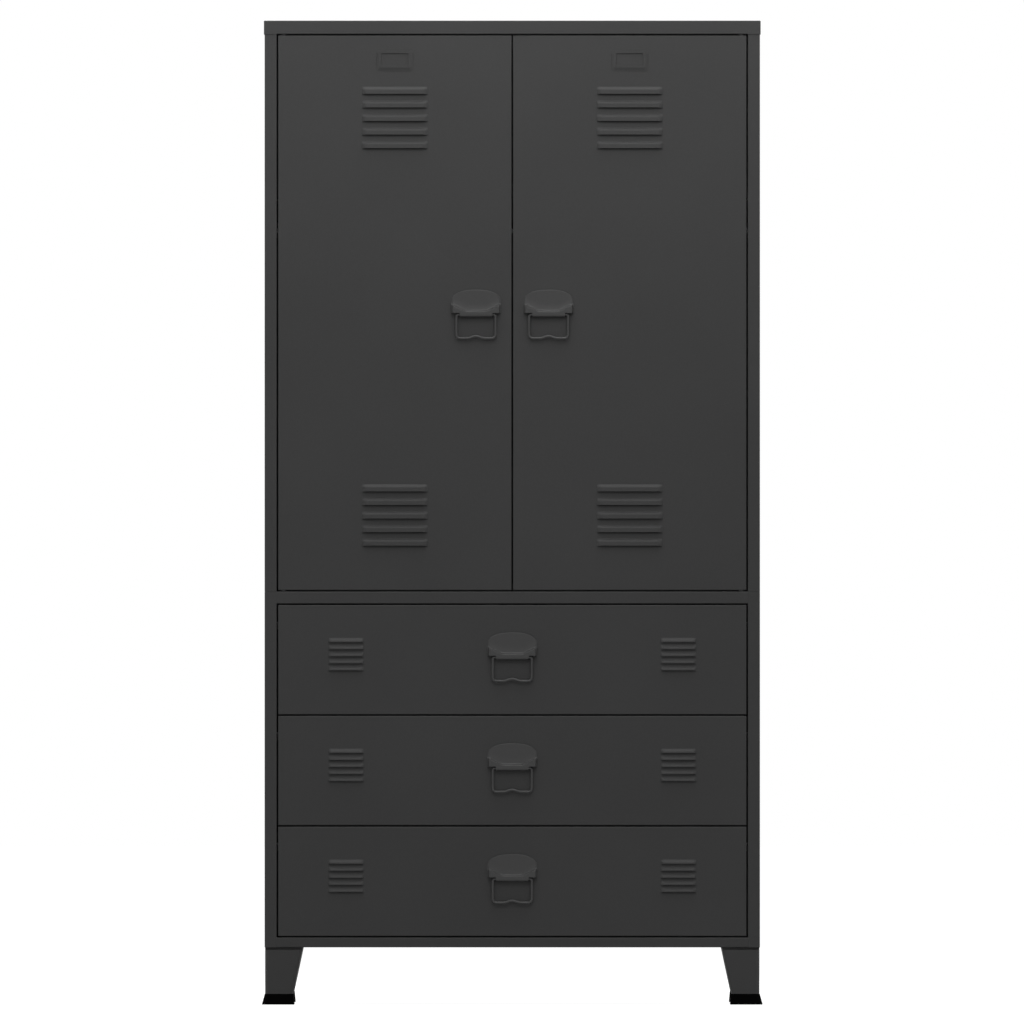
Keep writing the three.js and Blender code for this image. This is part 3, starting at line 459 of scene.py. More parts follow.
# ---- louvres
def louvre_tree():
    """Geometry Nodes tree that hangs a row of pressed louvres below each point of the host. A
    louvre leaves the sheet at its top, swells over a shoulder, hangs almost straight down to its
    open lip and is drawn down at its ends."""
    sizes = dict.fromkeys(DOOR_LOUVRE, "Float")
    tree, given = new_tree("pressed_louvres", **sizes, Count="Int", Finish="Material")
    width, height, proud, taper = (given[name] for name in ("Width", "Height", "Proud", "Taper"))

    # A grid of cells: -1 to 1 across, and level from 0 at the lip to 1 where it leaves the sheet
    grid = add(tree, "GeometryNodeMeshGrid", {
        "Size X": 2.0, "Size Y": 1.0,
        "Vertices X": LOUVRE_COLUMNS + 1, "Vertices Y": LOUVRE_ROWS + 1})
    place = add(tree, "GeometryNodeInputPosition")
    across = add(tree, "ShaderNodeSeparateXYZ", {0: place}, "X")
    up = add(tree, "ShaderNodeSeparateXYZ", {0: place}, "Y")
    level = add(tree, "ShaderNodeMath", {0: up, 1: 0.5}, operation="ADD", use_clamp=True)

    # Its place in the sheet, with columns closer together towards the ends
    half = add(tree, "ShaderNodeMath", {0: width, 1: 0.5}, operation="MULTIPLY")
    angle = add(tree, "ShaderNodeMath", {0: across, 1: math.pi / 2}, operation="MULTIPLY")
    sine = add(tree, "ShaderNodeMath", {0: angle}, operation="SINE")
    x = add(tree, "ShaderNodeMath", {0: half, 1: sine}, operation="MULTIPLY")
    z = add(tree, "ShaderNodeMath", {0: height, 1: level}, operation="MULTIPLY")

    # Share of its depth that the drawn ends leave
    aside = add(tree, "ShaderNodeMath", {0: x}, operation="ABSOLUTE")
    full_half = add(tree, "ShaderNodeMath", {0: half, 1: taper}, operation="SUBTRACT")
    past = add(tree, "ShaderNodeMath", {0: aside, 1: full_half}, operation="SUBTRACT")
    end = add(tree, "ShaderNodeMath", {0: past, 1: taper}, operation="DIVIDE", use_clamp=True)
    lost = add(tree, "ShaderNodeMath", {0: end, 1: end}, operation="MULTIPLY")
    left = add(tree, "ShaderNodeMath", {0: 1.0, 1: lost}, operation="SUBTRACT")

    # Share of its depth at each level, from the shoulder and the lean
    shoulder = add(tree, "ShaderNodeMapRange", {
        "Value": z, "From Min": height, "From Max": given["Lip"],
        "To Min": 0.0, "To Max": 1 - LOUVRE_LEAN}, interpolation_type="SMOOTHSTEP")
    below = add(tree, "ShaderNodeMath", {0: 1.0, 1: level}, operation="SUBTRACT")
    flare = add(tree, "ShaderNodeMath", {0: below, 1: LOUVRE_LEAN, 2: shoulder},
                operation="MULTIPLY_ADD")
    share = add(tree, "ShaderNodeMath", {0: left, 1: flare}, operation="MULTIPLY")
    forward = add(tree, "ShaderNodeMath", {0: proud, 1: -1.0}, operation="MULTIPLY")
    out = add(tree, "ShaderNodeMath", {0: forward, 1: share}, operation="MULTIPLY")

    # The sheet keeps its length, so that its lip is drawn up
    long_squared = add(tree, "ShaderNodeMath", {0: height, 1: height}, operation="MULTIPLY")
    out_squared = add(tree, "ShaderNodeMath", {0: proud, 1: proud}, operation="MULTIPLY")
    squared = add(tree, "ShaderNodeMath", {0: long_squared, 1: out_squared}, operation="SUBTRACT")
    slant = add(tree, "ShaderNodeMath", {0: squared}, operation="SQRT")
    drawn = add(tree, "ShaderNodeMath", {0: height, 1: slant}, operation="SUBTRACT")
    lifted = add(tree, "ShaderNodeMath", {0: drawn, 1: share, 2: z}, operation="MULTIPLY_ADD")

    shape = add(tree, "ShaderNodeCombineXYZ", {"X": x, "Y": out, "Z": lifted})
    louvre = add(tree, "GeometryNodeSetPosition", {"Geometry": grid, "Position": shape})
    down = add(tree, "ShaderNodeMath", {0: given["Pitch"], 1: -1.0}, operation="MULTIPLY")
    step = add(tree, "ShaderNodeCombineXYZ", {"Z": down})
    row = add(tree, "GeometryNodeMeshLine", {"Count": given["Count"], "Offset": step})
    column = add(tree, "GeometryNodeInstanceOnPoints", {"Points": row, "Instance": louvre})
    groups = add(tree, "GeometryNodeInstanceOnPoints", {
        "Points": given["Geometry"], "Instance": column})
    return end_tree(tree, groups, given["Finish"])


def grow(host, tree, values):
    """Runs a Geometry Nodes tree on a host with these inputs and keeps the plain mesh."""
    maker = host.modifiers.new("made", "NODES")
    maker.node_group = tree
    for item in tree.interface.items_tree:
        if item.item_type == "SOCKET" and item.in_out == "INPUT" and item.name in values:
            maker[item.identifier] = values[item.name]
    return settle(host)


LOUVRES = louvre_tree()


def facing_front(shape):
    """The shape with every face turned to the front (-y)."""
    points, faces = shape
    done = []
    for face in faces:
        a, b, c = (Vector(points[i]) for i in face[:3])
        done.append(face if (b - a).cross(c - b).y < 0 else face[::-1])
    return points, done


def louvred(name, half, height, hem, louvre, groups):
    """A pan with louvre groups pressed in its face; groups lists the middle and the lip of each top
    louvre. The face has the louvres' own grid lines, so that they join without a seam."""
    width, tall, pitch = louvre["Width"], louvre["Height"], louvre["Pitch"]
    steps = [2 * i / LOUVRE_COLUMNS - 1 for i in range(LOUVRE_COLUMNS + 1)]
    across = [width / 2 * math.sin(math.pi / 2 * step) for step in steps]
    xs = sorted({round(x + u, 4) for x, _ in groups for u in across})
    lips = sorted({round(lip - i * pitch, 4) for _, lip in groups for i in range(LOUVRE_COUNT)})
    zs = [round(lip + tall * k / LOUVRE_ROWS, 4) for lip in lips for k in range(LOUVRE_ROWS + 1)]

    def in_louvre(x, z):
        beside = any(abs(x - middle) < width / 2 for middle, _ in groups)
        return beside and any(0 < z - lip < tall for lip in lips)

    face = pan([-half, *xs, half], [0, *zs, height], PAN_DEPTH, hem, in_louvre)
    tops = raw(name + "_louvres", ([(x, 0, lip) for x, lip in groups], []))
    metres = {key: value * MM for key, value in louvre.items()}
    grow(tops, LOUVRES, {**metres, "Count": LOUVRE_COUNT, "Finish": COAT})
    points = [(v.co.x / MM, (v.co.y - FRONT) / MM, v.co.z / MM) for v in tops.data.vertices]
    faces = [list(f.vertices) for f in tops.data.polygons]
    bpy.data.objects.remove(tops)
    return join(face, facing_front((points, faces)))


# ---- carcass
def side_panels():
    """Folded in plan: stile return, stile, side and rear flange."""
    for side, sign in SIDES.items():
        for part in ("upper", "lower"):
            node = f"side_{part}_{side}"
            low, high = span(node)
            half, deep = max(abs(low.x), abs(high.x)), high.y
            path = [(half - STILE, STILE_RETURN), (half - STILE, 0), (half, 0),
                    (half, deep), (half - REAR_FLANGE, deep)]
            shape = mirrored(folded(path, [low.z, high.z], "z"), sign)
            steel(f"{node}_sheet", shape, "carcass", [node])


def top_cap():
    """A lid folded down on all sides; only its front edge turns in, between the stiles."""
    low, high = span("top_cap")
    turned_in = 19.3
    front_edge = 1 + BEND + SHEET
    shape = pan([low.x, -BETWEEN, BETWEEN, high.x], [0, high.y - low.y], high.z - low.z, turned_in,
                hemmed=lambda x, z: z < front_edge and abs(x) < BETWEEN)
    steel("cap_sheet", laid(shape, low.y, high.z), "carcass", ["top_cap"])


def decks():
    """Middle and bottom panel: a front rail and a floor in one sheet, notched at the stiles."""
    between = HALF_WIDTH - STILE + 0.9  # the rails end within the sheet of the stiles' returns
    notch = STILE_RETURN + FIT
    rear_edge = 20
    for node in ("middle_panel", "bottom_panel"):
        high = span(node)[1]
        if node == "middle_panel":
            floor, rail = 750.6, 728.6
            path = [(high.y, floor - rear_edge), (high.y, floor), (notch, floor), (0, floor),
                    (0, rail), (RAIL_RETURN, rail), (RAIL_RETURN, rail + HEM)]
        else:
            floor, rail = LEG_HEIGHT, LEG_HEIGHT + 18
            path = [(RAIL_RETURN, rail - HEM), (RAIL_RETURN, rail), (0, rail),
                    (0, floor), (notch, floor), (high.y, floor), (high.y, floor + rear_edge)]
        shape = folded(path, [-high.x, -between, between, high.x], "x",
                       lambda p, s: abs(s) > between and p.x < notch)
        if node == "middle_panel":
            behind, tall = PAN_DEPTH + SHEET, 14  # the strip that the doors close on
            stop = folded([(behind, floor + tall), (behind, floor - SHEET / 2)],
                          [-STOP_HALF, STOP_HALF], "x")
            shape = join(shape, stop)
        steel(f"{node}_sheet", shape, "carcass", [node])


def head_rail():
    """Angle under the cap that the doors close on."""
    low, high = span("head_rail")
    front, back = low.y, high.y
    apron = 1763.4  # below this height it is only as wide as the stop strip
    path = [(back, high.z - HEM), (back, high.z), (front, high.z), (front, apron), (front, low.z)]
    shape = folded(path, [low.x, -STOP_HALF, STOP_HALF, high.x], "x",
                   lambda p, s: abs(s) > STOP_HALF and p.y < apron)
    steel("head_rail_sheet", shape, "carcass", ["head_rail"])


def back_sheets():
    """Flat back sheets that butt together at the wardrobe floor."""
    for node in ("back_upper", "back_lower"):
        low, high = span(node)
        bottom = low.z - FIT if node == "back_upper" else low.z
        shape = folded([(high.x, high.y), (low.x, high.y)], [bottom, high.z], "z")
        steel(f"{node}_sheet", shape, "carcass", [node])


# ---- doors and drawers
def door_panels():
    """Louvred pans, each with a hat-section stiffener behind its face."""
    hem = 14
    from_top, from_bottom = 107, 80  # lips of the first and the last louvre
    foot, crown = 30, 18  # half widths of the stiffener
    spread = (LOUVRE_COUNT - 1) * DOOR_LOUVRE["Pitch"]
    for side in SIDES:
        node = f"door_panel_{side}"
        low, high = span(node)
        half, height = (high.x - low.x) / 2, high.z - low.z
        groups = [(0, height - from_top), (0, from_bottom + spread)]
        shape = moved(louvred(node, half, height, hem, DOOR_LOUVRE, groups),
                      (low.x + high.x) / 2, 0, low.z)
        steel(f"{node}_sheet", shape, f"door_{side}", [node])
        node = f"door_stiffener_{side}"
        low, high = span(node)
        front, back = low.y, high.y - SHEET
        path = [(-foot, front), (-crown, front), (-crown, back),
                (crown, back), (crown, front), (foot, front)]
        shape = moved(folded(path, [low.z, high.z], "z"), (low.x + high.x) / 2)
        steel(f"{node}_sheet", shape, f"door_{side}", [node])


def drawer_fronts():
    """Double-skinned: a louvred pan, closed behind by the plate that the tray is fixed to."""
    hem = 20
    aside, from_top = 302, 68.5  # middle and first lip of the louvre groups
    edge, behind = 0.6, 17.4  # of the plate
    for i in DRAWERS:
        node = f"drawer_front_{i}"
        low, high = span(node)
        half, height = high.x, high.z - low.z
        groups = [(-aside, height - from_top), (aside, height - from_top)]
        shape = louvred(node, half, height, hem, DRAWER_LOUVRE, groups)
        plate = folded([(half * 2 - edge, behind), (edge, behind)], [edge, height - edge], "z")
        shape = join(shape, moved(plate, -half))
        steel(f"{node}_sheet", moved(shape, 0, 0, low.z), f"drawer_{i}", [node])


def drawer_trays():
    """Tray in one folded sheet with its runner flanges, and a rear wall that stands in it."""
    flange, lip = 13, 9
    for i in DRAWERS:
        node = f"drawer_tray_{i}"
        low, high = span(node)
        out, wall = high.x, high.x - flange
        top, floor = high.z, low.z + SHEET
        path = [(out, top - lip), (out, top), (wall, top), (wall, floor),
                (-wall, floor), (-wall, top), (-out, top), (-out, top - lip)]
        steel(f"{node}_sheet", folded(path, [low.y, high.y], "y"), f"drawer_{i}", [node])
        node = f"drawer_back_{i}"
        low, high = span(node)
        shape = folded([(high.y, low.z), (high.y, high.z - 2), (high.y, high.z)],
                       [low.x, high.x], "x")
        steel(f"{node}_sheet", shape, f"drawer_{i}", [node])


# ---- handles
PLATE_HALF = 45.0
ARCH, ARCH_POWER = 20, 2.2  # how far the plate's top edge drops to its ends, and how squarely
THIN = 2.5  # thickness above the crease
RIM = 0.8  # round edge at the top
COVE = 13  # height above the crease in which the face already comes forward
BAND = 10.0  # how far the band stands out
BAIL_OUT, BAIL_DOWN = 5.5, 45  # axis of the bail, from the back and the top of the plate
CURL = 4.5  # outer radius of the curl round the bail


def smooth(share):
    share = min(max(share, 0.0), 1.0)
    return share * share * (3 - 2 * share)


def crease_height(side):
    """Height of the crease below the top of the plate: level in the middle, then rising in a
    straight line to each end."""
    level_half, fillet, rise, drop = 18.5, 3, 0.47, 38.3
    past = side - level_half
    if past < fillet:
        past = max(past + fillet, 0) ** 2 / (4 * fillet)
    return rise * past - drop


def plate_section(x):
    """Section of the handle plate at x, from its top edge down the front and back underneath."""
    side = abs(x)
    top = -ARCH * (1 - max(1 - (side / PLATE_HALF) ** ARCH_POWER, 0) ** (1 / ARCH_POWER))
    crease = crease_height(side)
    points = [(0, top)]
    for i in range(5):
        angle = math.pi / 2 * i / 4
        points.append((-THIN + RIM * (1 - math.sin(angle)), top - RIM * (1 - math.cos(angle))))
    start, end = crease + 1.9, crease - 2.3  # where the swell to the band begins and ends
    tall = top - RIM - start
    cove = min(COVE, tall)
    face = -THIN - (cove / COVE) ** 2
    for k in range(1, 13):
        z = start + tall * (1 - k / 12)
        points.append((-THIN + (face + THIN) * max(1 - (z - start) / cove, 0) ** 2, z))
    for k in range(1, 13):
        share = k / 12
        points.append((face - (BAND + face) * smooth(share), start + (end - start) * share))
    points.append((-BAND, (end - BAIL_DOWN) / 2))
    for k in range(9):
        angle = math.pi + math.pi / 2 * k / 8
        points.append((CURL * math.cos(angle) - BAIL_OUT, CURL * math.sin(angle) - BAIL_DOWN))
    points.append((0, -BAIL_DOWN - CURL))
    ear = smooth((side - 29.2) / 1.1)  # 1 beyond the ears, where the curl is cut back
    foot = -42.2  # to this height
    edge = max(side - 39.5, 0) / 4.5  # the plate thins towards its ends
    thin = 0.35 + 0.65 * math.sqrt(max(1 - edge * edge, 0))
    return [(x, y * thin, z + ear * (max(z, foot) - z)) for y, z in points]


def plate_shape():
    """The handle plate: a thin arched plate that swells along a smiling crease into a band, which
    curls round the wire of the bail and is cut back at its ends into two ears."""
    columns = {round(PLATE_HALF * math.sin(math.pi / 2 * i / 36), 3) for i in range(37)}
    columns |= {round(29.0 + 0.18 * i, 3) for i in range(9)}  # closer together at the ears
    xs = sorted(columns | {-x for x in columns})
    return loft([plate_section(x) for x in xs], ends=True)


def arc(cx, cz, radius, start, end, steps):
    """Points along an arc, between two angles in degrees."""
    angles = [math.radians(start + (end - start) * i / steps) for i in range(steps + 1)]
    return [Vector((cx + radius * math.cos(a), cz + radius * math.sin(a))) for a in angles]


def bail_shape():
    """Closed loop of round wire hung from the origin, with a wave in the middle of its grip."""
    half, length, wire = 35.4, 43.1, 2.25
    shoulder, corner = 4, 6.5  # radii of its bends
    wave, wave_half = 3.8, 16
    right = arc(half - shoulder, -shoulder, shoulder, 90, 0, 8)
    right += arc(half - corner, corner - length, corner, 0, -90, 12)
    for k in range(11, 0, -1):
        x = wave_half * k / 12
        rise = math.cos(math.pi / 2 * min(x / wave_half, 1)) ** 2
        right.append(Vector((x, -length + wave * rise)))
    path = right + [Vector((0, wave - length))] + [Vector((-p.x, p.y)) for p in reversed(right)]
    rings = []
    for i, p in enumerate(path):
        along = (path[(i + 1) % len(path)] - path[i - 1]).normalized()
        ring = []
        for j in range(16):
            angle = 2 * math.pi * j / 16
            out, deep = wire * math.cos(angle), -wire * math.sin(angle)
            ring.append((p.x - along.y * out, deep, p.y + along.x * out))
        rings.append(ring)
    return loft(rings, closed=True)


def handles():
    """Five cast plates with their bails, each a copy of one pattern."""
    plate = weld(raw("plate_pattern", plate_shape(), HANDLE_COAT), outward=True)
    bore, reach = 2.6, 48
    cut(plate, turned([(0.01, -reach), (bore, -reach), (bore, reach), (0.01, reach)], 24, "x",
                      (0, -BAIL_OUT, -BAIL_DOWN)))
    bail = weld(raw("bail_pattern", bail_shape(), HANDLE_COAT), outward=True)
    for body in [f"door_{side}" for side in SIDES] + [f"drawer_{i}" for i in DRAWERS]:
        node = f"handle_plate_{body}"
        low, high = span(node)
        top, middle = high.z, (low.x + high.x) / 2
        for pattern, cad, rides, at in (
                (plate, node, body, (middle, -FIT, top)),
                (bail, f"handle_bail_{body}", f"{body}_bail",
                 (middle, -FIT - BAIL_OUT, top - BAIL_DOWN))):
            copy = bpy.data.objects.new(f"{cad}_cast", pattern.data.copy())
            bpy.context.scene.collection.objects.link(copy)
            for v in copy.data.vertices:
                v.co += Vector(at) * MM
            finish(copy, rides, [cad], crease=50)
    for pattern in (plate, bail):
        bpy.data.objects.remove(pattern)


def card_holders():
    """Stamped frames that hold a name card: flat beside and above the window, with a bar below it
    that runs out to the door in a soft curve."""
    outer = (-33.0, 33.0, -18.5, 18.5, 5.0)  # left, right, bottom, top and corner
    window = (-24.5, 24.5, -8.9, 13.8, 2.5)
    back, crown, rim = -0.3, -2.0, 0.2
    inside = [(0.98, crown), (1, crown + rim), (1, back)]
    steps = [k / 12 for k in range(1, 12)]
    # Sections from the outer edge (0) to the window (1), with their distance from the door
    flat = [(0, back), (0, crown + rim), (0.02, crown), *[(share, crown) for share in steps],
            *inside]
    low_edge = -0.6
    curved = [(0, back), (0, -0.5), (0.02, low_edge),
              *[(share, low_edge + (crown - low_edge) * smooth((share - 0.1) / 0.65))
                for share in steps], *inside]
    for side in SIDES:
        node = f"card_holder_{side}"
        low, high = span(node)
        x, z = (low.x + high.x) / 2, (low.z + high.z) / 2
        rings = []
        for (share, level), (_, soft) in zip(flat, curved):
            x0, x1, z0, z1, corner = (a + (b - a) * share for a, b in zip(outer, window))
            ring = []
            for u, v in rectangle(x0, x1, z0, z1, corner, 6):
                below = smooth((-v - 4) / 8)  # from beside the window to under it
                ring.append((x + u, level + (soft - level) * below, z + v))
            rings.append(ring)
        solid(f"{node}_frame", loft(rings, closed=True), COAT,
              f"door_{side}", [node])


# ---- legs
SHOULDER = 99.7  # height of a leg's top edge
BOOT_TOP = 19.5
BOOT = [  # height, near and far side from the cabinet's corner, corner radius
    (0, -4.1, 53.6, 7.5), (0.4, -4.7, 54.1, 8), (1.2, -4.9, 54.3, 8), (18.4, -0.1, 52.7, 7),
    (19.2, 0.1, 52.6, 6.9), (BOOT_TOP, 0.4, 52.3, 6.7), (19.4, 0.75, 52.05, 6.6),
    (4.1, 0.75, 49, 6.6)]


def square_ring(z, near, far, radius):
    return [(x, y, z) for x, y in rectangle(near, far, near, far, radius, 6)]


def leg_ring(z, grow, radius):
    """Ring of a leg, whose inner sides taper down to the boot."""
    far = 70 - 18 * (LEG_HEIGHT - z) / (LEG_HEIGHT - BOOT_TOP) + grow
    return square_ring(z, 0.8 - grow, far, radius)


def legs():
    """Tapered folded legs on a smaller spacer plate, each in a flared rubber boot."""
    tube = loft([leg_ring(4.4, 0, 6.5), leg_ring(60, 0, 6.5), leg_ring(SHOULDER - 1.2, 0, 6.5),
                 leg_ring(SHOULDER - 0.4, -0.3, 6.2), leg_ring(SHOULDER, -1.2, 5.6)], ends=True)
    plate = loft([[(x, y, z) for x, y in rectangle(0.9, 69, 6, 64, 2)]
                  for z in (SHOULDER - 0.5, LEG_HEIGHT - FIT)], ends=True)
    boot = loft([square_ring(*ring) for ring in BOOT], ends=True)
    rear = span("leg_rear_left")[1].y
    for row, sy, y in (("front", 1, 0), ("rear", -1, rear)):
        for side, sign in SIDES.items():
            leg, foot = f"leg_{row}_{side}", f"foot_{row}_{side}"
            tube_at, plate_at, boot_at = (
                moved(mirrored(shape, -sign, sy), sign * HALF_WIDTH, y)
                for shape in (tube, plate, boot))
            piece = weld(raw(f"{leg}_tube", join(tube_at, plate_at), COAT))
            finish(piece, "carcass", [leg])
            finish(weld(raw(f"{foot}_boot", boot_at, RUBBER)), "carcass", [foot])


# ---- fittings inside
def shelf():
    """A pan of sheet, open downwards, on two angles."""
    hem, leg = 10, 22
    low, high = span("shelf")
    board = pan([low.x, high.x], [0, high.y - low.y], high.z - low.z, hem)
    steel("shelf_sheet", laid(board, low.y, high.z), "carcass", ["shelf"])
    for side, sign in SIDES.items():
        node = f"shelf_angle_{side}"
        low, high = span(node)
        outer = max(abs(low.x), abs(high.x))
        path = [(outer, low.z), (outer, high.z), (outer - leg, high.z)]
        shape = mirrored(folded(path, [low.y, high.y], "y"), sign)
        steel(f"{node}_sheet", shape, "carcass", [node], ZINC)


def hanging_rail():
    """A drawn tube with deburred ends."""
    low, high = span("hanging_rail")
    y, z, radius = (low.y + high.y) / 2, (low.z + high.z) / 2, (high.z - low.z) / 2
    end, bore, burr = high.x, radius - 1.5, 0.3
    profile = [(bore, -end), (radius - burr, -end), (radius, burr - end), (radius, end - burr),
               (radius - burr, end), (bore, end), (bore, -end)]
    solid("hanging_tube", turned(profile, 64, "x", (0, y, z)), CHROME,
          "carcass", ["hanging_rail"])


def rail_sockets():
    """Die-cast cups, open at the top so that the tube drops in."""
    disc, plate, soft = 24, 2, 0.6  # radius, thickness and rim of the base
    inner, outer, deep = 12.8, 15.3, 18  # radii and depth of the cup
    section = [(inner, -0.5), (inner, deep - 0.4), (13.2, deep), (14.8, deep),
               (outer, deep - soft), (outer, -0.5)]
    for side, sign in SIDES.items():
        node = f"rail_socket_{side}"
        low, high = span(node)
        y, z = (low.y + high.y) / 2, (low.z + high.z) / 2
        wall = max(abs(low.x), abs(high.x))
        face = wall - plate
        base = turned([(0.01, wall), (disc - soft, wall), (disc, wall - soft), (disc, face + soft),
                       (23.2, face), (0.01, face)], 64, "x", (0, y, z))
        angles = [math.pi * (1 + i / 32) for i in range(33)]
        cup = loft([[(face - s, y + r * math.cos(a), z + r * math.sin(a)) for r, s in section]
                    for a in angles], ends=True)
        lips = []
        for edge in (-1, 1):
            near, far = sorted((y + edge * inner, y + edge * outer))
            lips.append(block(face - deep, face + 0.5, near, far, z - 0.5, z + 2.2, 0.5))
        piece = weld(raw(f"{node}_cup", join(base, cup, *lips), ZINC), outward=True)
        if sign < 0:
            for v in piece.data.vertices:
                v.co.x = -v.co.x
            weld(piece, outward=True)
        finish(piece, "carcass", [node])


def door_catch():
    """Twin magnetic catch: a plastic housing on a lug, with steel poles for each door."""
    low, high = span("door_catch")
    top = high.z - 12
    housing = block(low.x, high.x, low.y + 0.6, high.y, low.z, top, 1.2)
    lug = block(low.x, high.x, 20.3, 22.3, top - 2, high.z, 0.4)
    poles = [block(x - 1, x + 1, low.y, low.y + 4, low.z + 3, top - 3, 0.3)
             for x in (-22, -8, 8, 22)]
    solid("catch_housing", join(housing, lug), CATCH_PLASTIC,
          "carcass", ["door_catch"])
    solid("catch_poles", join(*poles), ZINC, "carcass")


def door_pins():
    """Turned pivot pins, each with a nylon washer in the gap."""
    radius, soft = 3, 0.6
    bore, rim, half = 3.05, 4.9, 1.15  # of the washer
    ring = [(bore, -half), (rim - 0.2, -half), (rim, 0.15 - half), (rim, half - 0.15),
            (rim - 0.2, half), (bore, half), (bore, -half)]
    for end in ("lower", "upper"):
        for side in SIDES:
            node = f"door_pin_{end}_{side}"
            low, high = span(node)
            middle, tall = (low + high) / 2, (high.z - low.z) / 2
            pin = [(0.01, -tall), (radius - soft, -tall), (radius, soft - tall),
                   (radius, tall - soft), (radius - soft, tall), (0.01, tall)]
            solid(f"{node}_turned", turned(pin, 32, "z", middle), ZINC,
                  "carcass", [node])
            solid(f"{node}_washer", turned(ring, 32, "z", middle), CATCH_PLASTIC,
                  "carcass")


def runners():
    """Rolled channels for the tray flanges, with a foot back to the side panel and a black moulded
    block on the front edge, which stands as painted shade for the dark gap there."""
    flange, foot_width = 12, 24
    shade_blocks = []
    for i in DRAWERS:
        for side, sign in SIDES.items():
            node = f"runner_{i}_{side}"
            low, high = span(node)
            outer, lip = max(abs(low.x), abs(high.x)), BETWEEN - flange
            channel = [(lip, low.z), (BETWEEN, low.z), (BETWEEN, high.z), (lip, high.z)]
            foot = [(outer, high.y - foot_width), (outer, high.y), (BETWEEN - SHEET, high.y)]
            shape = join(folded(channel, [low.y, high.y], "y"), folded(foot, [low.z, high.z], "z"))
            steel(f"{node}_rail", mirrored(shape, sign), "carcass", [node], ZINC)
            # black block that darkens the channel's front edge in the door gap: painted shade
            shade_block = block(BETWEEN - 1.7, BETWEEN + 0.2, low.y - 1.2, low.y + 3,
                           low.z - 0.8, high.z + 0.8, 0.4)
            shade_blocks.append(mirrored(shade_block, sign))
    solid("runner_shade_blocks", join(*shade_blocks), CATCH_PLASTIC, "carcass")


# ---- fasteners
def head_tree():
    """Geometry Nodes tree that sets a domed head on each point of the host, half of it sunk in
    the sheet."""
    tree, given = new_tree("domed_heads", Size="Vector", Finish="Material")
    ball = add(tree, "GeometryNodeMeshUVSphere", {"Segments": 24, "Rings": 12, "Radius": 1.0})
    dome = add(tree, "GeometryNodeTransform", {"Geometry": ball, "Scale": given["Size"]})
    heads = add(tree, "GeometryNodeInstanceOnPoints", {
        "Points": given["Geometry"], "Instance": dome})
    return end_tree(tree, heads, given["Finish"])


def fasteners():
    """Rivets and screws, listed for the right side and mirrored to the left, with the half sizes
    of their heads."""
    rear = [(440, 500, z) for z in (150, 290, 570, 710, 800, 1030, 1260, 1490, 1720)]
    low, high = span("rail_socket_right")
    y, z, face = (low.y + high.y) / 2, (low.z + high.z) / 2, high.x - 2
    out = 19.6  # from the middle of the socket
    inside = [(face, y - out, z), (face, y + out, z), (face, y, z - out)]
    for i in DRAWERS:
        low, high = span(f"runner_{i}_right")
        inside.append((high.x - SHEET, high.y - 13, (low.z + high.z) / 2))
    low, high = span("shelf_angle_right")
    inside += [(high.x - SHEET, y, low.z + 8) for y in (low.y + 40, high.y - 40)]
    low, high = span("handle_plate_door_right")
    door = [((low.x + high.x) / 2 + x, SHEET, high.z - 26) for x in (-26, 26)]
    low, high = span("card_holder_right")
    card = [((low.x + high.x) / 2 + x, SHEET, (low.z + high.z) / 2) for x in (-28.5, 28.5)]
    tree = head_tree()
    for name, places, size, body, material, slot in (
            ("rear_rivets", rear, (3.4, 1.2, 3.4), "carcass", COAT, "powder_coat"),
            ("inside_screws", inside, (1.5, 3.2, 3.2), "carcass", ZINC, "zinc"),
            ("handle_screws", door, (4.2, 2.0, 4.2), "door_{}", ZINC, "zinc"),
            ("card_rivets", card, (2.6, 1.1, 2.6), "door_{}", ZINC, "zinc")):
        for side, sign in SIDES.items():
            host = raw(f"{name}_{side}", ([(sign * x, y, z) for x, y, z in places], []))
            grow(host, tree, {"Size": [half * MM for half in size], "Finish": material})
            finish(host, body.format(side))


# ---- studio
def camera():
    """Front view from far away, as with a long lens."""
    distance, view_width, sensor = 85.0, 1.8606, 36
    middle, height = -0.0005, 0.8951  # of the view
    data = bpy.data.cameras.new("camera")
    data.sensor_width = sensor
    data.lens = sensor * distance / view_width
    data.clip_end = 2 * distance
    eye = bpy.data.objects.new("camera", data)
    eye.location = (middle, FRONT - distance, height)
    eye.rotation_euler = (math.radians(90), 0, 0)
    bpy.context.scene.collection.objects.link(eye)
    bpy.context.scene.camera = eye


def lamp(name, place, target, size, watts):
    light = bpy.data.lights.new(name, "AREA")
    light.shape = "RECTANGLE"
    light.size, light.size_y = size
    light.energy = watts
    holder = bpy.data.objects.new(name, light)
    holder.location = place
    aim = Vector(target) - Vector(place)
    holder.rotation_euler = aim.to_track_quat("-Z", "Y").to_euler()
    bpy.context.scene.collection.objects.link(holder)


def seen_directly(tree):
    """1 for rays from the camera, mirrors and glass, 0 for the light that falls on things."""
    path = tree.nodes.new("ShaderNodeLightPath").outputs
    either = add(tree, "ShaderNodeMath", {
        0: path["Is Camera Ray"], 1: path["Is Glossy Ray"]}, operation="MAXIMUM")
    return add(tree, "ShaderNodeMath", {
        0: either, 1: path["Is Transmission Ray"]}, operation="MAXIMUM")


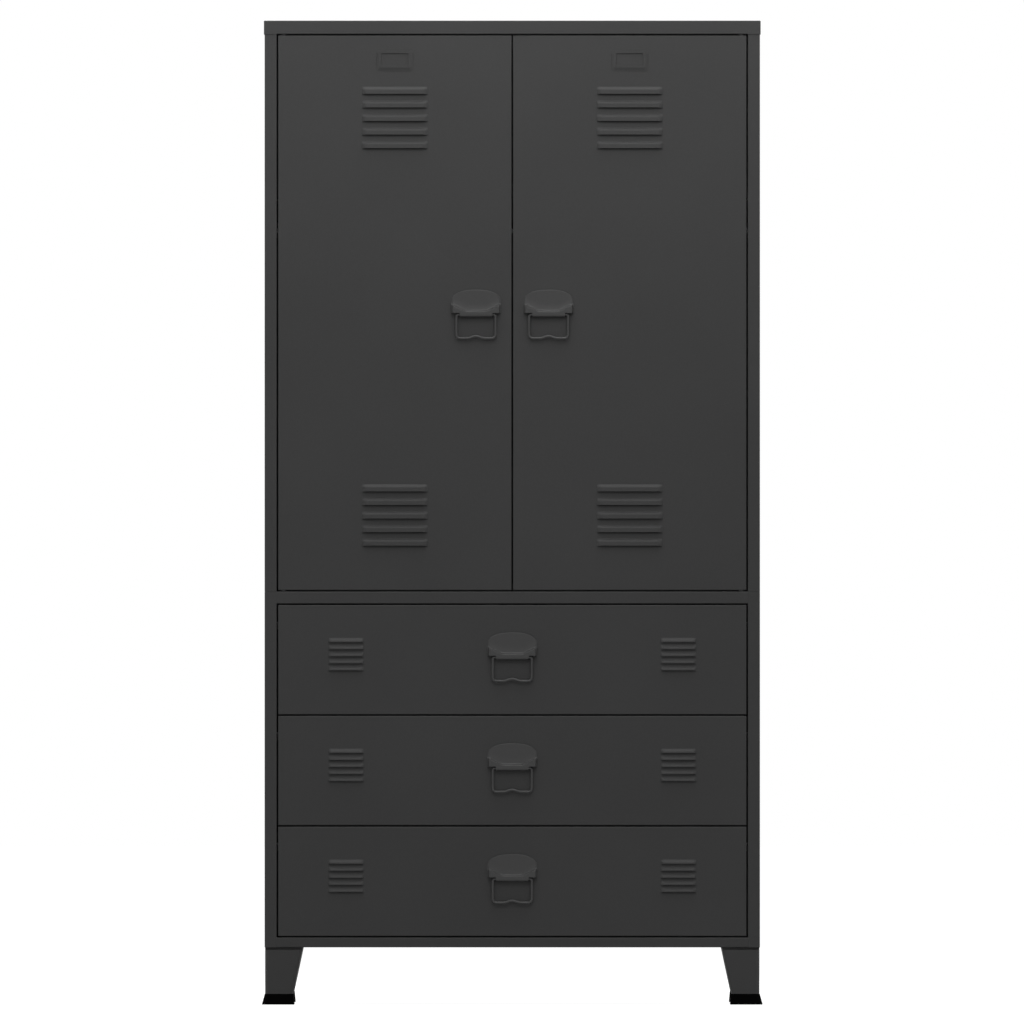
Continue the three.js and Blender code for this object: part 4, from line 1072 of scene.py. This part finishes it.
def studio():
    """White surroundings, soft even light and a lamp from above the front."""
    world = bpy.data.worlds.new("studio")
    bpy.context.scene.world = world
    world.use_nodes = True
    tree = world.node_tree
    tree.nodes.clear()
    strength = add(tree, "ShaderNodeMapRange", {
        "Value": seen_directly(tree), "To Min": 0.3, "To Max": 1.0})
    glow = add(tree, "ShaderNodeBackground", {"Color": (1, 1, 1, 1), "Strength": strength})
    add(tree, "ShaderNodeOutputWorld", {"Surface": glow})
    lamp("front_lamp", (0, -3.2, 3.6), (0, 0, 1.2), (3.0, 2.0), 57)
    lamp("top_lamp", (0, -0.7, 4.6), (0, -0.2, 0.9), (2.4, 1.2), 53)
    lamp("near_lamp", (0, -0.9, 2.3), (0, -0.25, 1.2), (2.4, 0.4), 5.8)
    lamp("rear_lamp", (0, 4.2, 3.0), (0, 0, 1.0), (3.0, 2.0), 120)
    for side, sign in SIDES.items():
        lamp(f"{side}_lamp", (4.0 * sign, 0.4, 2.6), (0, 0.2, 1.0), (2.0, 2.0), 60)

    # Plain pale floor that looks white and still takes the cabinet's shadow
    floor, tree, _ = new_material("floor")
    matt = add(tree, "ShaderNodeBsdfDiffuse", {"Color": linear("#8c8c8c")})
    lit = add(tree, "ShaderNodeEmission", {"Color": (1, 1, 1, 1), "Strength": 0.96})
    bright = add(tree, "ShaderNodeAddShader", {0: matt, 1: lit})
    plain = add(tree, "ShaderNodeBsdfDiffuse", {"Color": linear("#989898")})
    mixed = add(tree, "ShaderNodeMixShader", {0: seen_directly(tree), 1: plain, 2: bright})
    add(tree, "ShaderNodeOutputMaterial", {"Surface": mixed})
    reach = 40000
    corners = [(-reach, -reach, 0), (reach, -reach, 0), (reach, reach, 0), (-reach, reach, 0)]
    raw("ground", (corners, [[0, 1, 2, 3]]), floor)
    bpy.context.scene.view_settings.view_transform = "Standard"


camera()
studio()
side_panels()
top_cap()
decks()
head_rail()
back_sheets()
door_panels()
drawer_fronts()
drawer_trays()
handles()
card_holders()
legs()
shelf()
hanging_rail()
rail_sockets()
door_catch()
door_pins()
runners()
fasteners()
